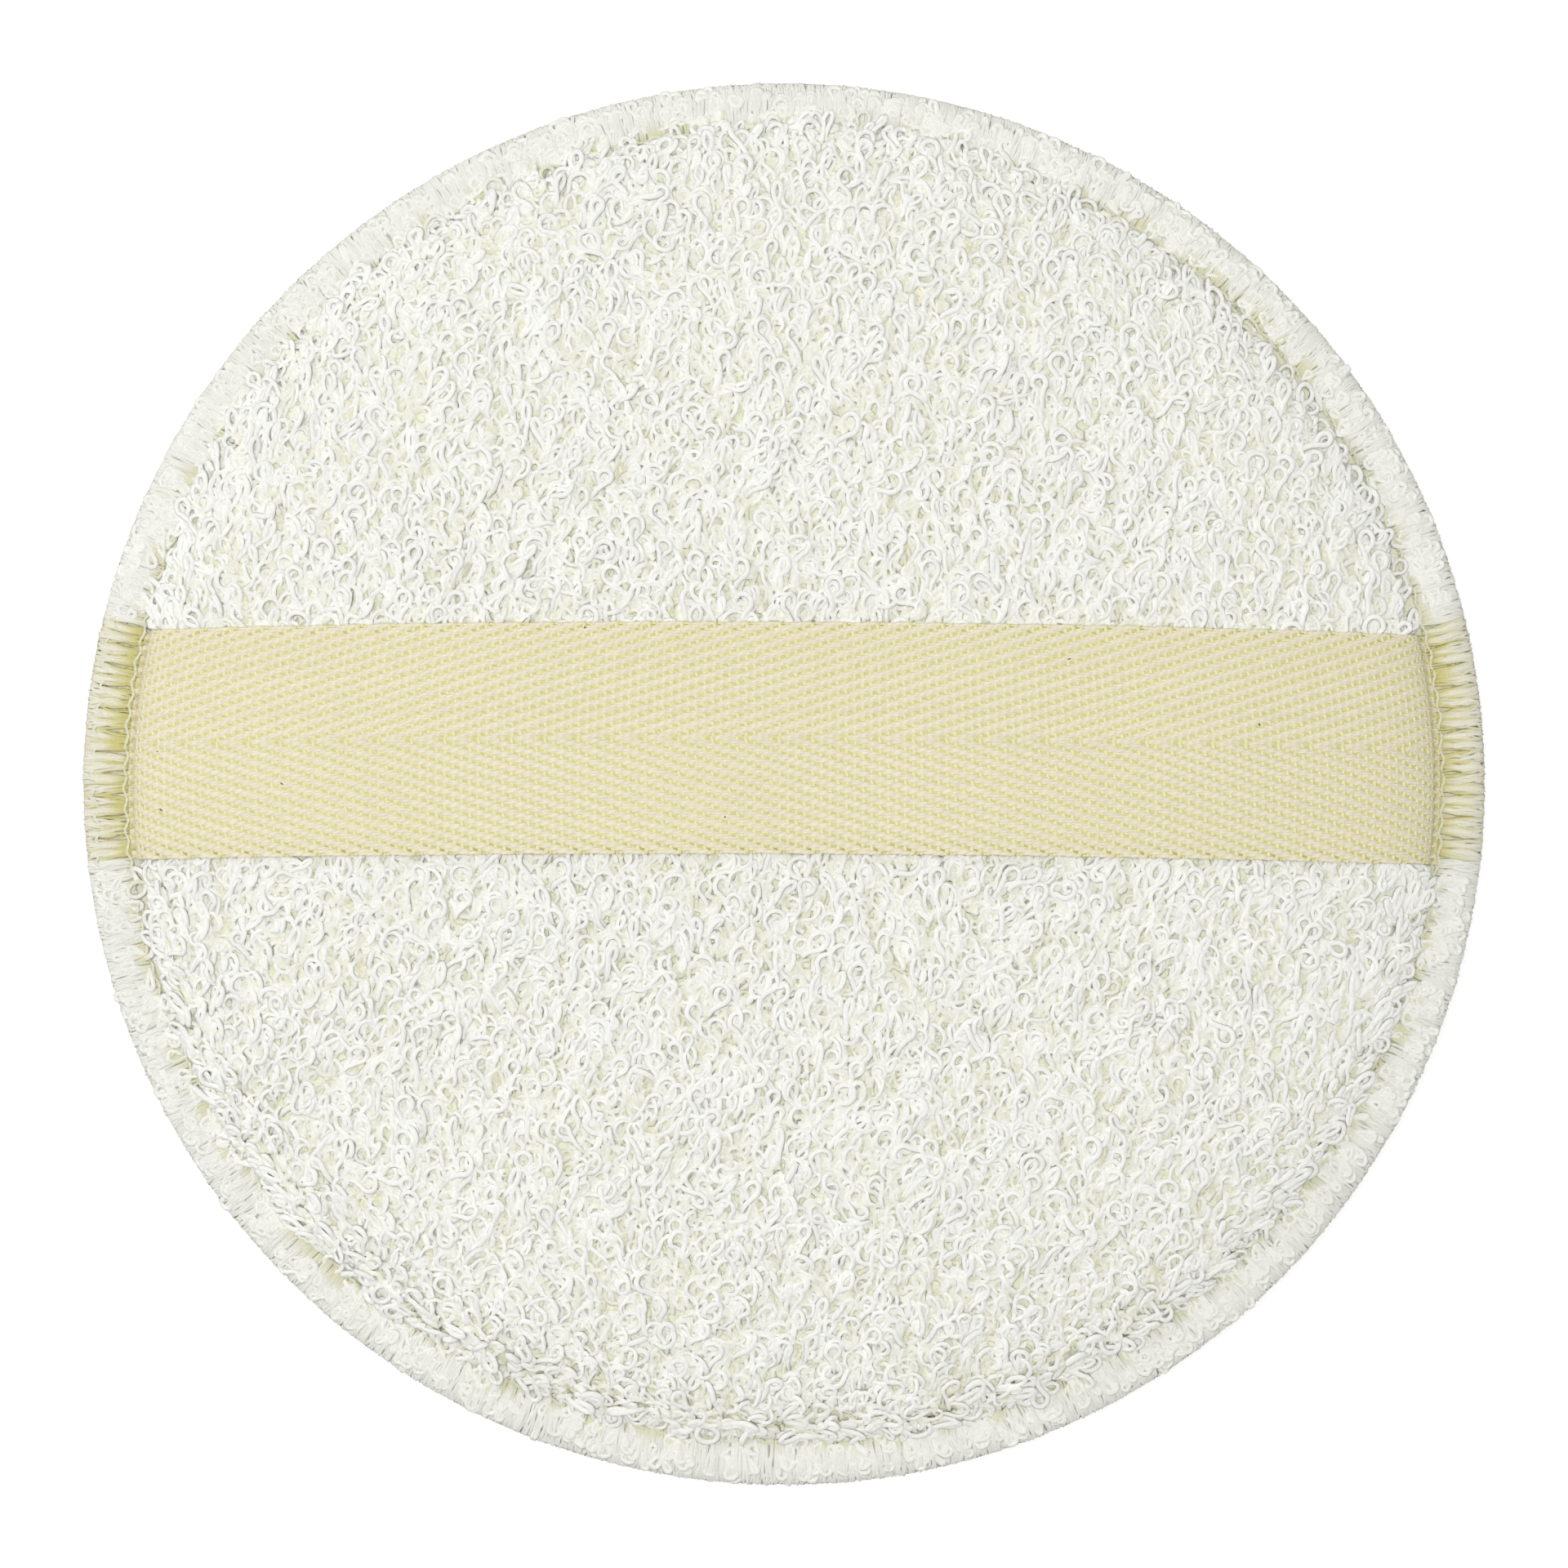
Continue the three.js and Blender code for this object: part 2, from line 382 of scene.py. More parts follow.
@dataclass(frozen=True)
class PadForm:
    """Where the pad's surfaces lie, read from the CAD nodes.

    Heights are lengths away from the seam plane, up on the upper side and down on the lower one.
    """

    seam: float
    crown: float
    pressed: float
    rim_edge: float
    needle_radius: float
    dome_radius: float
    side_height: float
    groove_radius: float
    flange_top: float
    strap_offset: float
    strap_width: float
    strap_end: float
    strap_top: float
    tab_bottom: float

    # How far out the pile reaches as seen from above, in mm by degrees: it hides more or less of the rim
    REACH = (
        *((0, 71.4), (14, 71.9), (56, 72.1), (72, 73.2), (150, 73.2)),
        *((180, 71.9), (205, 72.9), (270, 73.5), (352, 72.9)),
    )
    LOOPS_REACH = 71.7  # how far out the loops reach without any swell
    # Waves round the side: their size in mm, how many go round and where they start
    SIDE_WAVES = ((0.25, 5, 1.1), (0.2, 9, 0.4), (0.12, 17, 0), (0.28, 37, 2.0), (0.22, 61, 0.7))
    SWELL_POWER = 9  # how soon the swell fades inwards
    STRAY = 0.42  # of the spacing, by which loops stray from their even places

    # The strap's middle bows towards +Y, its ends lie off its axis one each way, and it is sewn towards -Y
    STRAP_BOW = 1.1 * MM
    STRAP_SKEW = 0.3 * MM
    STRAP_SETTLED = 0.7 * MM

    @classmethod
    def from_frame(cls) -> "PadForm":
        """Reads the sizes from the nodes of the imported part."""
        cover, needle = (
            np.array([vertex.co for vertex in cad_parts[node].data.vertices])
            for node in ("upper_terry_cover", "needle_thread")
        )
        low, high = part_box("upper_terry_cover")
        lower_low, lower_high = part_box("lower_terry_cover")
        strap_low, strap_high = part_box("hand_strap")
        seam = (low.z + lower_high.z) / 2
        radius = np.hypot(cover[:, 0], cover[:, 1])
        height = cover[:, 2] - seam
        needle_radius = float(np.hypot(needle[:, 0], needle[:, 1]).mean())
        flange_top = float(height[radius > needle_radius].max())
        above = height > flange_top + CLOSE
        level = np.abs(height - flange_top) < CLOSE
        widest = np.flatnonzero(above)[np.argmax(radius[above])]
        return cls(
            seam=seam,
            crown=high.z - seam,
            pressed=seam - lower_low.z,
            rim_edge=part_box("upper_looper_thread")[1].x,
            needle_radius=needle_radius,
            dome_radius=float(radius[widest]),
            side_height=float(height[widest]),
            groove_radius=float(radius[level].min()),
            flange_top=flange_top,
            strap_offset=(strap_low.y + strap_high.y) / 2,
            strap_width=strap_high.y - strap_low.y,
            strap_end=strap_high.x,
            strap_top=strap_high.z - seam,
            tab_bottom=strap_low.z - seam,
        )

    def profile(self, inset: float, steps: int = 240) -> Array:
        """The outside of a cover's pile, from the middle of the crown to the groove by the seam.

        Args:
            inset: How far under that surface the points lie.
            steps: How many points the crown takes.

        Returns:
            (points, 2) of radius and height.
        """
        rise = self.crown - self.side_height - inset
        crown = crown_arc(self.dome_radius - inset, self.side_height, rise, steps)
        down = np.linspace(QUARTER_TURN, 0, max(steps // 8, 3))[1:]
        radius = self.groove_radius - inset + (self.dome_radius - self.groove_radius) * np.sin(down)
        height = self.side_height - (self.side_height - self.flange_top) * np.cos(down)
        return np.concatenate([crown, np.stack([radius, height], axis=1)])

    def swell(self, radius: Array, angle: Array) -> Array:
        """How far the stuffed side bulges past the CAD's, which is round.

        Args:
            radius: Radii of the points.
            angle: Their angles about Z.

        Returns:
            A length to add to each radius. It is 0 inside the crown.
        """
        out = np.interp(np.degrees(angle), *zip(*self.REACH), period=360) - self.LOOPS_REACH
        uneven = sum(size * np.sin(number * angle + phase) for size, number, phase in self.SIDE_WAVES)
        return (out + uneven) * MM * np.clip(radius / self.dome_radius, 0, 1) ** self.SWELL_POWER

    def scatter(self, face: Face, count: int, rng: np.random.Generator) -> tuple[Array, Array, Array]:
        """Spreads places evenly over the outside of one side's pile.

        Args:
            face: The side of the pad.
            count: How many places.
            rng: The source of chance.

        Returns:
            The places, the ways out of the surface there, and the angles about Z.
        """
        line = self.profile(0)
        step = np.diff(line, axis=0)
        length = np.linalg.norm(step, axis=1)
        middle = (line[1:] + line[:-1]) / 2
        area = np.concatenate([[0], np.cumsum(FULL_TURN * middle[:, 0] * length)])
        share = (np.arange(count) + 0.5) / count * area[-1]
        radius, height = (np.interp(share, area, column) for column in line.T)
        lean = unit(np.stack([np.interp(share, area[1:], column) for column in unit(step).T], axis=1))
        angle = np.arange(count) * FULL_TURN * (math.sqrt(5) - 1) / 2
        outward = ways(angle)
        normal = -lean[:, 1:] * outward + lean[:, :1] * face.up
        downhill = lean[:, :1] * outward + lean[:, 1:] * face.up
        radius = radius + self.swell(radius, angle)
        height = np.minimum(height, self.crown if face is Face.UPPER else self.pressed)
        place = outward * radius[:, None] + face.up * height[:, None] + np.array([0, 0, self.seam])
        stray = rng.uniform(-self.STRAY, self.STRAY, (2, count, 1)) * math.sqrt(area[-1] / count)
        return place + np.cross([0, 0, 1], outward) * stray[0] + downhill * stray[1], normal, angle

    def strap_room(self) -> Span:
        """How far the inside of the strap's arch reaches from its middle, and up from the pad's side."""
        inside = self.strap_top - HandStrap.THICKNESS
        return self.dome_radius + inside - self.crown, inside - self.side_height

    def strap_middle(self, x: Array) -> Array:
        """The y of the strap's middle line, which bows a little, at each x."""
        share = x / self.strap_end
        sewn = self.strap_offset - self.STRAP_SETTLED
        return sewn + self.STRAP_BOW * (1 - share * share) - self.STRAP_SKEW * share


# Finishes


class Graph:
    """Builds the nodes of a material, a world or a shared group, with few words."""

    def __init__(self, tree: Tree) -> None:
        """Starts with the tree's nodes cleared."""
        self.tree = tree
        tree.nodes.clear()

    def add(self, kind: str, options: dict[str, object] | None = None, **sockets: object) -> bpy.types.Node:
        """Adds a node.

        Args:
            kind: The node's type, without its ShaderNode prefix.
            options: Properties of the node.
            **sockets: Values or output sockets for its inputs. The names are the inputs' names with _ for
                spaces, or i0, i1 and so on for inputs by place.

        Returns:
            The node.
        """
        node = self.tree.nodes.new(kind if kind.startswith("Node") else "ShaderNode" + kind)
        for name, value in (options or {}).items():
            setattr(node, name, value)
        for name, value in sockets.items():
            by_place = name[0] == "i" and name[1:].isdigit()
            socket = node.inputs[int(name[1:]) if by_place else name.replace("_", " ")]
            if isinstance(value, Socket):
                self.tree.links.new(value, socket)
            else:
                socket.default_value = value
        return node

    def math(self, operation: str, *values: object) -> Socket:
        """Adds a Math node and gives its result."""
        sockets = {f"i{place}": value for place, value in enumerate(values)}
        return self.add("Math", {"operation": operation}, **sockets).outputs[0]

    def mix(self, share: object, first: object, second: object) -> Socket:
        """Adds a colour Mix node and gives its result."""
        return self.add("Mix", {"data_type": "RGBA"}, i0=share, i6=first, i7=second).outputs[2]

    def scaled(self, vector: Socket, share: object) -> Socket:
        """Adds a node that scales a vector or colour and gives its result."""
        return self.add("VectorMath", {"operation": "SCALE"}, i0=vector, Scale=share).outputs[0]

    def noise(self, size: Socket) -> Socket:
        """Adds a noise whose features are about so large and gives its value."""
        place = self.add("TexCoord").outputs["Object"]
        return self.add("TexNoise", Vector=place, Scale=self.math("DIVIDE", 1.0, size), Detail=2.0).outputs[0]

    def value(self, name: str, output: str = "Fac") -> Socket:
        """Adds a node that reads a value of the mesh."""
        return self.add("Attribute", {"attribute_name": name}).outputs[output]

    def seen(self) -> Socket:
        """1 for rays that see the background itself: the camera's, and what gloss or glass sends on."""
        rays = self.add("LightPath").outputs
        direct = self.math("MAXIMUM", rays["Is Camera Ray"], rays["Is Glossy Ray"])
        return self.math("MAXIMUM", direct, rays["Is Transmission Ray"])


def new_material(name: str) -> tuple[Material, Graph]:
    """Makes a material and the graph that fills it."""
    made = bpy.data.materials.new(name)
    made.use_nodes = True
    return made, Graph(made.node_tree)


def rgba(colour: Colour, share: float = 1.0) -> tuple[float, float, float, float]:
    """A linear colour, or a share of its light, with full alpha."""
    return (*(share * part for part in colour), 1.0)


def new_group(name: str, inputs: dict[str, tuple[str, object]], outputs: dict[str, str]) -> Tree:
    """Makes an empty shader group with named sockets.

    Args:
        name: The group's name.
        inputs: Each input's socket type and default.
        outputs: Each output's socket type.

    Returns:
        The group's tree.
    """
    tree = bpy.data.node_groups.new(name, "ShaderNodeTree")
    for label, (kind, default) in inputs.items():
        socket = tree.interface.new_socket(label, in_out="INPUT", socket_type="NodeSocket" + kind)
        socket.default_value = default
    for label, kind in outputs.items():
        tree.interface.new_socket(label, in_out="OUTPUT", socket_type="NodeSocket" + kind)
    return tree


def yarn_tone_group() -> Tree:
    """The shared group that colours a yarn by its depth in the cloth, which paints shade into the cloth's
    hollows, and by its own shade and uneven patches.
    """
    inputs = {
        "Crest": ("Color", rgba((1, 1, 1))),
        "Deep": ("Color", rgba((1, 1, 1))),
        "Shade": ("Float", 0.1),
        "Patch Size": ("Float", 20 * MM),
    }
    tree = new_group("yarn_tone", inputs, {"Color": "Color", "Surface": "Float"})
    graph = Graph(tree)
    given = graph.add("NodeGroupInput").outputs
    uneven = graph.math("ADD", graph.value("tone"), graph.noise(given["Patch Size"]))
    shade = graph.math("MULTIPLY_ADD", graph.math("SUBTRACT", uneven, 1.0), given["Shade"], 1.0)
    # The mix by depth below paints shade: the lower a point lies in the cloth, the more of the darker colour
    # it takes.
    eased = {"interpolation_type": "SMOOTHSTEP"}
    surface = graph.add("MapRange", eased, Value=graph.value("depth")).outputs[0]
    colour = graph.mix(surface, given["Deep"], given["Crest"])
    graph.add("NodeGroupOutput", Color=graph.scaled(colour, shade), Surface=surface)
    return tree


def ply_twist_group() -> Tree:
    """The shared group for a yarn's surface: grooves between its plies, fine fuzz, and the way it faces."""
    inputs = {
        "Turn Length": ("Float", 2.0),
        "Plies": ("Float", 2.0),
        "Groove": ("Float", 0.05 * MM),
        "Fuzz": ("Float", 0.02 * MM),
        "Fuzz Size": ("Float", 0.15 * MM),
        "Facing": ("Float", 0.5),
    }
    tree = new_group("ply_twist", inputs, {"Normal": "Vector", "Ply": "Float"})
    graph = Graph(tree)
    given = graph.add("NodeGroupInput").outputs
    uv = graph.add("SeparateXYZ", Vector=graph.add("UVMap", {"uv_map": "yarn"}).outputs[0]).outputs
    turns = graph.math("ADD", graph.math("DIVIDE", uv[0], given["Turn Length"]), uv[1])
    beat = graph.math("MULTIPLY", graph.math("MULTIPLY", turns, given["Plies"]), FULL_TURN)
    ply = graph.math("MULTIPLY_ADD", graph.math("SINE", beat), 0.5, 0.5)
    grooved = graph.add("Bump", Strength=1.0, Distance=given["Groove"], Height=ply).outputs[0]
    fuzz = graph.noise(given["Fuzz Size"])
    fuzzy = graph.add("Bump", Strength=1.0, Distance=given["Fuzz"], Height=fuzz, Normal=grooved).outputs[0]
    faced = graph.scaled(graph.value("out", "Vector"), given["Facing"])
    soft = graph.add("VectorMath", {"operation": "ADD"}, i0=fuzzy, i1=faced).outputs[0]
    normal = graph.add("VectorMath", {"operation": "NORMALIZE"}, i0=soft).outputs[0]
    graph.add("NodeGroupOutput", Normal=normal, Ply=ply)
    return tree


@dataclass(frozen=True)
class YarnFinish:
    """A spun yarn.

    Attributes:
        name: The material's name.
        crest: Its colour on the surface of the cloth.
        deep: Its colour low in the cloth, darker and yellower: painted shade of the cloth's hollows.
        shade: How much the shade varies from yarn to yarn and patch to patch.
        turn: Millimetres along the yarn for one turn of its plies.
        groove: How deep the grooves between its plies are.
        fuzz: How high its fuzz stands.
        sheen: The soft light that fuzz adds at a grazing angle.
        fuzz_size: How far apart the bumps of the fuzz are.
        facing: How strongly its fuzz makes it face out of the cloth.
        ply_light_and_shade: How much darker the grooves between its plies are painted, and the ridges
            lighter: painted shade and painted highlight.
    """

    name: str
    crest: Colour
    deep: Colour
    shade: float
    turn: float
    groove: float
    fuzz: float
    sheen: float
    fuzz_size: float = 0.15 * MM
    facing: float = 1.5
    ply_light_and_shade: float = 0.04

    # The share of a yarn's width at which its tone is its own colour, between the painted shade of its
    # grooves and the painted highlight of its ridges
    EVEN_PLY = 0.7

    def material(self, tone: Tree, twist: Tree) -> Material:
        """Builds the material.

        Args:
            tone: The shared group for a yarn's colour.
            twist: The shared group for its plies.

        Returns:
            The material.
        """
        made, graph = new_material(self.name)
        colours = {"Crest": rgba(self.crest), "Deep": rgba(self.deep)}
        coloured = graph.add("Group", {"node_tree": tone}, Shade=self.shade, **colours)
        twisted = graph.add(
            "Group",
            {"node_tree": twist},
            Turn_Length=self.turn,
            Groove=self.groove,
            Fuzz=self.fuzz,
            Fuzz_Size=self.fuzz_size,
            Facing=self.facing,
        )
        # Painted shade in the grooves between the plies and painted highlight on their ridges.
        even = 1 - self.EVEN_PLY * self.ply_light_and_shade
        painted_ply_light = graph.math("MULTIPLY_ADD", twisted.outputs["Ply"], self.ply_light_and_shade, even)
        surface = graph.add(
            "BsdfPrincipled",
            Base_Color=graph.scaled(coloured.outputs["Color"], painted_ply_light),
            Roughness=0.85,
            Specular_IOR_Level=0.2,
            Sheen_Weight=self.sheen,
            Sheen_Roughness=0.5,
            Normal=twisted.outputs["Normal"],
        )
        graph.add("OutputMaterial", Surface=surface.outputs[0])
        return made


@dataclass(frozen=True)
class FoamFinish:
    """Open cell foam: its colour, the painted shade in the pits of its cells, their size and their depth."""

    name: str = "open_cell_foam"
    colour: Colour = (0.80, 0.70, 0.36)
    pit: float = 0.6
    cell: float = 0.7 * MM
    depth: float = 0.2 * MM

    def material(self) -> Material:
        """Builds the material."""
        made, graph = new_material(self.name)
        place = graph.add("TexCoord").outputs["Object"]
        cells = graph.add("TexVoronoi", {"feature": "SMOOTH_F1"}, Vector=place, Scale=1 / self.cell)
        wall = graph.add("MapRange", Value=cells.outputs["Distance"], From_Max=0.6).outputs[0]
        bump = graph.add("Bump", Strength=1.0, Distance=self.depth, Height=wall).outputs[0]
        # Painted shade: the middle of each cell is darker than its walls.
        colour = graph.mix(wall, rgba(self.colour, self.pit), rgba(self.colour))
        surface = graph.add("BsdfPrincipled", Base_Color=colour, Roughness=0.9, Normal=bump)
        graph.add("OutputMaterial", Surface=surface.outputs[0])
        return made


# The pile's darker, yellower colour low in the cloth is painted shade of its hollows.
TERRY_YARN = YarnFinish(
    name="terry_yarn",
    crest=(0.965, 0.965, 0.928),
    deep=(0.79, 0.785, 0.605),
    shade=0.04,
    turn=1.5,
    groove=0.02 * MM,
    fuzz=0.01 * MM,
    sheen=0.45,
    facing=0.8,
)
# The ground cloth's dull yellow is painted shade of the pile's hollows.
GROUND_SHADE_COLOUR = (0.88, 0.875, 0.69)
GROUND_CLOTH = replace(
    TERRY_YARN,
    name="terry_ground",
    crest=GROUND_SHADE_COLOUR,
    deep=GROUND_SHADE_COLOUR,
    fuzz=0.25 * MM,
    fuzz_size=0.8 * MM,
)
# The tape's darker, yellower colour where its ends dip is painted shade in the hollows of the weave.
TAPE_YARN = YarnFinish(
    name="tape_yarn",
    crest=(0.868, 0.808, 0.622),
    deep=(0.86, 0.81, 0.48),
    shade=0.05,
    turn=1.82,
    groove=0.05 * MM,
    fuzz=0.006 * MM,
    sheen=0.05,
    facing=0.5,
    ply_light_and_shade=0.12,
)
# The middle of the tape, darker and yellower than its yarns, is painted shade in the gaps between them.
TAPE_GAP_SHADE = replace(TAPE_YARN, name="tape_body", crest=(0.74, 0.70, 0.34), deep=(0.74, 0.70, 0.34))
# Its darker, yellower colour is painted shade low on the rim and in the groove by the needle line.
OVERLOCK_YARN = YarnFinish(
    name="overlock_yarn",
    crest=(0.89, 0.888, 0.835),
    deep=(0.76, 0.745, 0.53),
    shade=0.05,
    turn=1.1,
    groove=0.01 * MM,
    fuzz=0.012 * MM,
    sheen=0.5,
    facing=0.8,
)
# The same yarn where it is thinly spread over the strap's ends, whose cream shows through it; its dark olive
# colour low down is painted shade in the gaps between the bundles
OVERLOCK_ON_TAPE = replace(
    OVERLOCK_YARN,
    name="overlock_on_tape",
    crest=(0.88, 0.862, 0.765),
    deep=(0.66, 0.61, 0.25),
    facing=1.5,
    sheen=0.1,
)
HUSK = YarnFinish(
    name="cotton_husk",
    crest=(0.22, 0.16, 0.06),
    deep=(0.12, 0.08, 0.03),
    shade=0.3,
    turn=0.6,
    groove=0.02 * MM,
    fuzz=0.01 * MM,
    sheen=0.0,
)


# The terry covers


@dataclass(frozen=True)
class PileSizes:
    """Sizes of one layer of a terry pile.

    Attributes:
        loops: How many loops one side has.
        ring_points: How many points the head of a loop has.
        inset: How far under the pile's surface the loops are rooted.
        yarn: Half the thickness of the yarn.
        length: The least and greatest height of a loop along itself.
        head: The least and greatest length of a loop's head.
        rise: The least and greatest angle, in degrees, at which loops stand up from the cloth.
        sectors: How many pieces the layer is made in.
        narrow: The least and greatest width of a narrow head, by its length.
        wide: The same for the other heads.
        foot: The least and greatest distance of a leg's foot from the middle of its loop.
        twist: The least and greatest distance by which a leg passes in front of or behind the other.
        droop: The least and greatest share of its length by which a loop hangs over.
        uneven: The least and greatest thickness of the yarns, by the layer's.
    """

    loops: int = 10500
    ring_points: int = 10
    inset: float = 1.15 * MM
    yarn: float = 0.29 * MM
    length: Span = (2.4 * MM, 3.6 * MM)
    head: Span = (1.2 * MM, 2.3 * MM)
    rise: Span = (6, 22)
    sectors: int = 8
    narrow: Span = (0.3, 0.6)
    wide: Span = (0.8, 1.1)
    foot: Span = (0.1 * MM, 0.45 * MM)
    twist: Span = (0.2 * MM, 0.4 * MM)
    droop: Span = (0, 0.5)
    uneven: Span = (0.88, 1.12)


UPPER_PILE = PileSizes()
UNDER_PILE = PileSizes(
    loops=9600,
    ring_points=6,
    inset=0.95 * MM,
    yarn=0.4 * MM,
    length=(1.5 * MM, 2.2 * MM),
    head=(0.9 * MM, 1.6 * MM),
    rise=(0, 14),
    sectors=4,
)
PROUD_PILE = PileSizes(
    loops=2400,
    ring_points=12,
    inset=0.8 * MM,
    yarn=0.35 * MM,
    length=(2.6 * MM, 4.0 * MM),
    head=(1.3 * MM, 2.2 * MM),
    rise=(10, 24),
    sectors=2,
)
LOWER_PILE = replace(UPPER_PILE, loops=6000, ring_points=8, sectors=4)
LOWER_UNDER_PILE = replace(UNDER_PILE, loops=4800, sectors=2)
LOWER_PROUD_PILE = replace(PROUD_PILE, loops=1000, ring_points=8, rise=(4, 16), sectors=1)


@dataclass(frozen=True)
class TuftSizes:
    """Sizes of the short loops of the cloth's edge, squashed under the overlock.

    Attributes:
        count: How many one side has.
        share: Between which shares of the rim they are rooted, 0 at the needle line and 1 at the edge.
        foot: How far over the rim's surface they are rooted.
        spread: How much their ways stray from straight outwards.
        length: Their least and greatest length.
        width: Their least and greatest width to each side.
        height: Their least and greatest height over their roots.
        back: The share of their length that lies behind their roots.
        yarn: Half the thickness of the yarn.
        depth: How near the surface of the cloth they are, which sets how much painted shade their tone takes.
        clear: How far they keep from the strap.
    """

    count: int = 1300
    share: Span = (0.02, 0.6)
    foot: float = 0.1 * MM
    spread: float = 0.9
    length: Span = (1.2 * MM, 2.6 * MM)
    width: Span = (0.2 * MM, 0.9 * MM)
    height: Span = (0, 0.3 * MM)
    back: float = 0.4
    yarn: float = 0.29 * MM
    depth: float = 0.8
    clear: float = 1.5 * MM


class TerrySide:
    """One terry cover: its ground cloth, its pile and the short loops that the overlock squashes."""

    GROUND_DEPTH = 1.1 * MM  # from the pile's surface to the ground cloth
    CLOTH = 1.9 * MM  # thickness of the ground cloth
    SEAM_GAP = 0.15 * MM  # from the ground cloth to the seam plane
    SEGMENTS = 180  # steps of the ground cloth round the pad
    SHADE_FADE = 0.8 * MM  # height in the pile over which the painted shade of its hollows fades into the crest's colour
    YARN_SIDES = 4
    LIE = math.radians(80)  # the way that most loops lean, by its angle about Z
    LIE_CLUMPS = 0.2  # how far it turns from clump to clump
    LIE_SPREAD = 0.4  # and from loop to loop
    WILD = 0.14  # share of the loops that lean any way
    RISE_CLUMPS = 2  # degrees by which loops stand up more or less from clump to clump
    RISE_STEEP = 35  # and more where the pad's side is steep
    ROLL = 0.5  # how far loops turn about themselves
    NECK = 0.2 * MM  # the least height of the legs under a head
    CROSSING = 0.55  # how far up that height the legs cross
    NARROW = 0.25  # share of the loops with a narrow head
    HEAD_TURN = (-62, 242)  # where the ring of a loop's head begins and ends, in degrees
    # Waves that gather the loops: turns by millimetre along X and Y, in radians, and where they start
    CLUMPS = ((0.21, 0.13, 0.3), (-0.11, 0.27, 1.9), (0.34, -0.29, 4.1), (0.05, 0.46, 2.2), (0.52, 0.17, 5.0))
    PRESSED_EDGE = 0.9 * MM  # the stretch beside the strap over which the pile rises again
    TUFTS = TuftSizes()

    def __init__(self, form: PadForm, face: Face, layers: tuple[PileSizes, ...], seed: int) -> None:
        """Sets what the side is made from.

        Args:
            form: The pad's form.
            face: The side.
            layers: The sizes of each layer of its pile.
            seed: The seed of its chance.
        """
        self.form = form
        self.face = face
        self.layers = layers
        self.rng = np.random.default_rng(seed)

    def ground(self) -> MeshData:
        """The cloth that the loops stand on, with its hollow for the foam and its flange in the seam."""
        form, gap = self.form, self.SEAM_GAP
        outside = form.profile(self.GROUND_DEPTH, 30)
        limit = (form.crown if self.face is Face.UPPER else form.pressed) - self.GROUND_DEPTH
        outside[:, 1] = np.minimum(outside[:, 1], limit)
        flange = rim_section(form, np.linspace(0, 0.93, 8)) - np.array([0, 2 * gap])
        flange[:, 1] = np.maximum(flange[:, 1], 2 * gap)
        inside = form.profile(self.GROUND_DEPTH + self.CLOTH, 30)[::-1]
        inside = inside[inside[:, 1] > form.side_height]
        edges = [[flange[-1, 0], gap], [inside[0, 0], gap]]
        section = np.concatenate([outside, flange, edges, inside])
        section[-1, 0] = 0
        angle = FULL_TURN * np.arange(self.SEGMENTS) / self.SEGMENTS
        swell = form.swell(np.minimum(section[:, :1], form.dome_radius), angle[None])
        swell[section[:, 0] > form.dome_radius] = 0
        return revolved(section, self.face, form.seam, swell)

    def clump(self, place: Array, salt: float) -> Array:
        """A smooth uneven field over the pad, about -1 to 1, that gathers neighbouring loops."""
        x, y = place[:, 0] / MM, place[:, 1] / MM
        return sum(np.sin(a * x + b * y + phase + salt) for a, b, phase in self.CLUMPS) / 2.5

    def loops(self, sizes: PileSizes) -> tuple[Yarns, Array]:
        """One layer of the pile.

        Each loop's two legs rise from the cloth, cross and open into a ring, which leans along the cloth.

        Args:
            sizes: The layer's sizes.

        Returns:
            The loops and the angle about Z at which each is rooted.
        """
        rng, count = self.rng, sizes.loops
        place, normal, angle = self.form.scatter(self.face, count, rng)

        def vary(low: float, high: float) -> Array:
            """A number of its own for each loop."""
            return rng.uniform(low, high, (count, 1))

        steep = (1 - np.abs(normal[:, 2:])) ** 1.1
        heading = self.LIE + self.LIE_CLUMPS * self.clump(place, 0) + rng.normal(0, self.LIE_SPREAD, count)
        wild = rng.random(count) < self.WILD
        heading[wild] = rng.uniform(0, FULL_TURN, wild.sum())
        lean = ways(heading) * (1 - 0.8 * steep) + steep * (rng.normal(0, 0.3, (count, 3)) - self.face.up)
        tangent = unit(lean - dot(lean, normal) * normal)
        raising = self.RISE_CLUMPS * self.clump(place, 2.4)[:, None] + self.RISE_STEEP * steep
        rise = np.radians(vary(*sizes.rise) + raising)
        upward = tangent * np.cos(rise) + normal * np.sin(rise)
        over = normal * np.cos(rise) - tangent * np.sin(rise)
        aside = np.cross(upward, over)
        roll = rng.normal(0, self.ROLL, (count, 1)) * (1 - 0.5 * steep)
        across = aside * np.cos(roll) + over * np.sin(roll)
        through = over * np.cos(roll) - aside * np.sin(roll)
        length = vary(*sizes.length) * (1 - 0.1 * steep)
        tall = vary(*sizes.head) / 2
        narrow = rng.random((count, 1)) < self.NARROW
        wide = np.where(narrow, vary(*sizes.narrow), vary(*sizes.wide)) * tall
        turn = np.radians(np.linspace(*self.HEAD_TURN, sizes.ring_points))[None]
        foot = vary(*sizes.foot)
        neck = np.maximum(length - 2 * tall, self.NECK)
        leg_x = np.concatenate([foot, 0.5 * foot], axis=1)
        leg_y = np.concatenate([0 * neck, self.CROSSING * neck], axis=1)
        x = np.concatenate([-leg_x, wide * np.cos(turn), leg_x[:, ::-1]], axis=1)
        y = np.concatenate([leg_y, length - tall + tall * np.sin(turn), leg_y[:, ::-1]], axis=1)
        side = np.linspace(1, -1, x.shape[1])[None]
